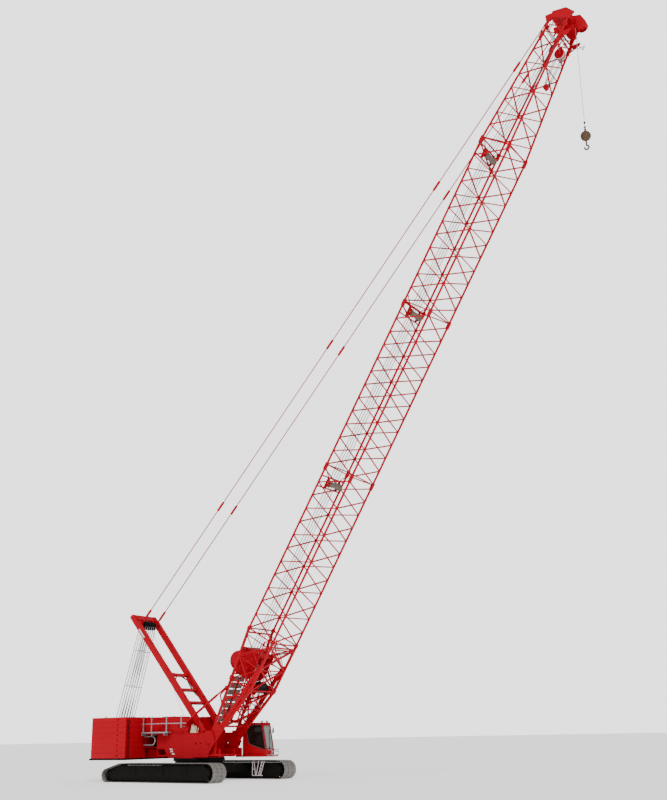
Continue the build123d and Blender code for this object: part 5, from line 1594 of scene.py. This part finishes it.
def weightMarks():
    # painted shade of recessed steps down the counterweights' front corners (flush black marks), joints between
    # the slabs and lifting eyes
    w = weightTrim
    back, front = (w["front"] + depth for depth in w["depths"])
    maker = Maker(bedFrame)
    # flush black boxes: painted shade where the steps would be recessed
    for side in (-1, 1):
        for column in w["columns"]:
            for k in range(w["count"]):
                z = w["from"] + k * w["step"]
                maker.box(back, front, side * (column - w["half"]), side * (column + w["half"]), z,
                          z + w["high"])
    settle(maker.done("weight_step_painted_shade", paints["wheel_steel"]), "upperworks", "wheel_steel")
    maker = Maker(bedFrame)
    for side in (-1, 1):
        for z in w["joints"]:
            maker.box(*w["sideRun"], *(side * y for y in w["sideFaces"]), z, z + w["joint"])
            maker.box(*w["frontFaces"], *(side * y for y in w["frontRun"]), z, z + w["joint"])
        for x in w["eyes"]:
            maker.tube([(x + along, side * w["eyeAt"], z) for along, z in w["eye"]], w["eyeRadius"])
    settle(maker.done("weight_joints_and_eyes", paints["machine_red"]), "upperworks", "machine_red")


houseTrim = {
    "side": 0.75, "edge": 0.012, "edgeThick": 0.006, "latchThick": 0.014, "latch": (0.008, 0.04),
    "doors": [(-1.2, -0.95, 1.6, 2.02), (-0.93, -0.68, 1.6, 2.02), (-0.6, -0.28, 1.6, 1.95),
              (-0.22, 0.1, 1.6, 1.95)],
    "latches": [(-0.99, 1.8), (-0.72, 1.8), (-0.32, 1.78), (0.06, 1.78)],
    "grille": (-1.45, -0.95, -0.3, 0.3, 2.09, 2.1),
    "slats": 12, "slatFrom": -1.43, "slatStep": 0.04, "slat": 0.01, "slatEnds": (-0.28, 0.28),
    "slatHeights": (2.1, 2.112),
}


def houseDoors():
    h = houseTrim
    edge = h["edge"]
    outer = h["side"] + h["edgeThick"]
    maker = Maker(bedFrame)
    for side in (-1, 1):
        for a, b, low, high in h["doors"]:
            for x0, x1, z0, z1 in ((a, a + edge, low, high), (b - edge, b, low, high),
                                   (a, b, low, low + edge),
                                   (a, b, high - edge, high)):
                maker.box(x0, x1, side * h["side"], side * outer, z0, z1)
    settle(maker.done("house_door_edges", paints["machine_red"]), "upperworks", "machine_red")
    maker = Maker(bedFrame)
    run, rise = h["latch"]
    for side in (-1, 1):
        for x, z in h["latches"]:
            maker.box(x - run, x + run, side * outer, side * (outer + h["latchThick"]), z - rise, z + rise)
    # air grille on the house roof
    maker.box(*h["grille"])
    for k in range(h["slats"]):
        x = h["slatFrom"] + k * h["slatStep"]
        maker.box(x, x + h["slat"], *h["slatEnds"], *h["slatHeights"])
    settle(maker.done("latches_and_grille", paints["wheel_steel"]), "upperworks", "wheel_steel")


gearShape = {
    "at": (0.3, 1.66), "y": -0.695, "sheave": (0.1, 0.03, 0.04, 0.05), "sheaveRise": 0.02,
    "plateFaces": (-0.07, -0.06),
    "plate": [(-0.12, -0.12), (0.16, -0.12), (0.12, -0.02), (0.02, 0.12), (-0.06, 0.1)], "rod": 0.012,
    "rods": [[(-0.1, -0.05, -0.1), (-0.06, -0.05, 0.14), (0.02, -0.05, 0.16)],
             [(0.14, 0, -0.1), (0.18, 0, 0.05)]],
}


def beigeGear():
    # pale rope guide and lever group beside the mast foot
    g = gearShape
    x, z = g["at"]
    y = g["y"]
    maker = Maker(bedFrame)
    maker.lathe(x, z + g["sheaveRise"], sheaveProfile(y, *g["sheave"]), 32)
    maker.plate([(x + along, z + rise) for along, rise in g["plate"]],
                *(y + face for face in g["plateFaces"]))
    for rod in g["rods"]:
        maker.tube([(x + along, y + aside, z + rise) for along, aside, rise in rod], g["rod"])
    settle(maker.done("pale_rope_guide", cream), "upperworks", "grey_steel")


lampShape = {"faces": (-3.5595, -3.552), "at": (0.9, 1.35), "half": 0.05, "heights": (0.78, 0.84)}


def rearLamps():
    s = lampShape
    maker = Maker(bedFrame)
    for side in (-1, 1):
        for y in s["at"]:
            maker.box(*s["faces"], side * y - s["half"], side * y + s["half"], *s["heights"])
    settle(maker.done("rear_lamps", cream), "upperworks", "grey_steel")


socketShape = {"shifts": (0.03, 0.2), "length": 0.06, "radius": 0.03}


def whipSockets():
    # two small sockets on the whip line above the ball
    maker = Maker()
    low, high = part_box("hook_ball")
    middle = (Vector(low) + Vector(high)) / 2
    for shift in socketShape["shifts"]:
        z = high[2] + shift
        maker.tube([(middle.x, middle.y, z), (middle.x, middle.y, z + socketShape["length"])],
                   socketShape["radius"], 12)
    settle(maker.done("whip_sockets", paints["wheel_steel"], smooth=50), "whip_line", "wheel_steel")


sidePlates()
bedFastenings()
weightMarks()
houseDoors()
beigeGear()
rearLamps()
whipSockets()
print("small parts done")
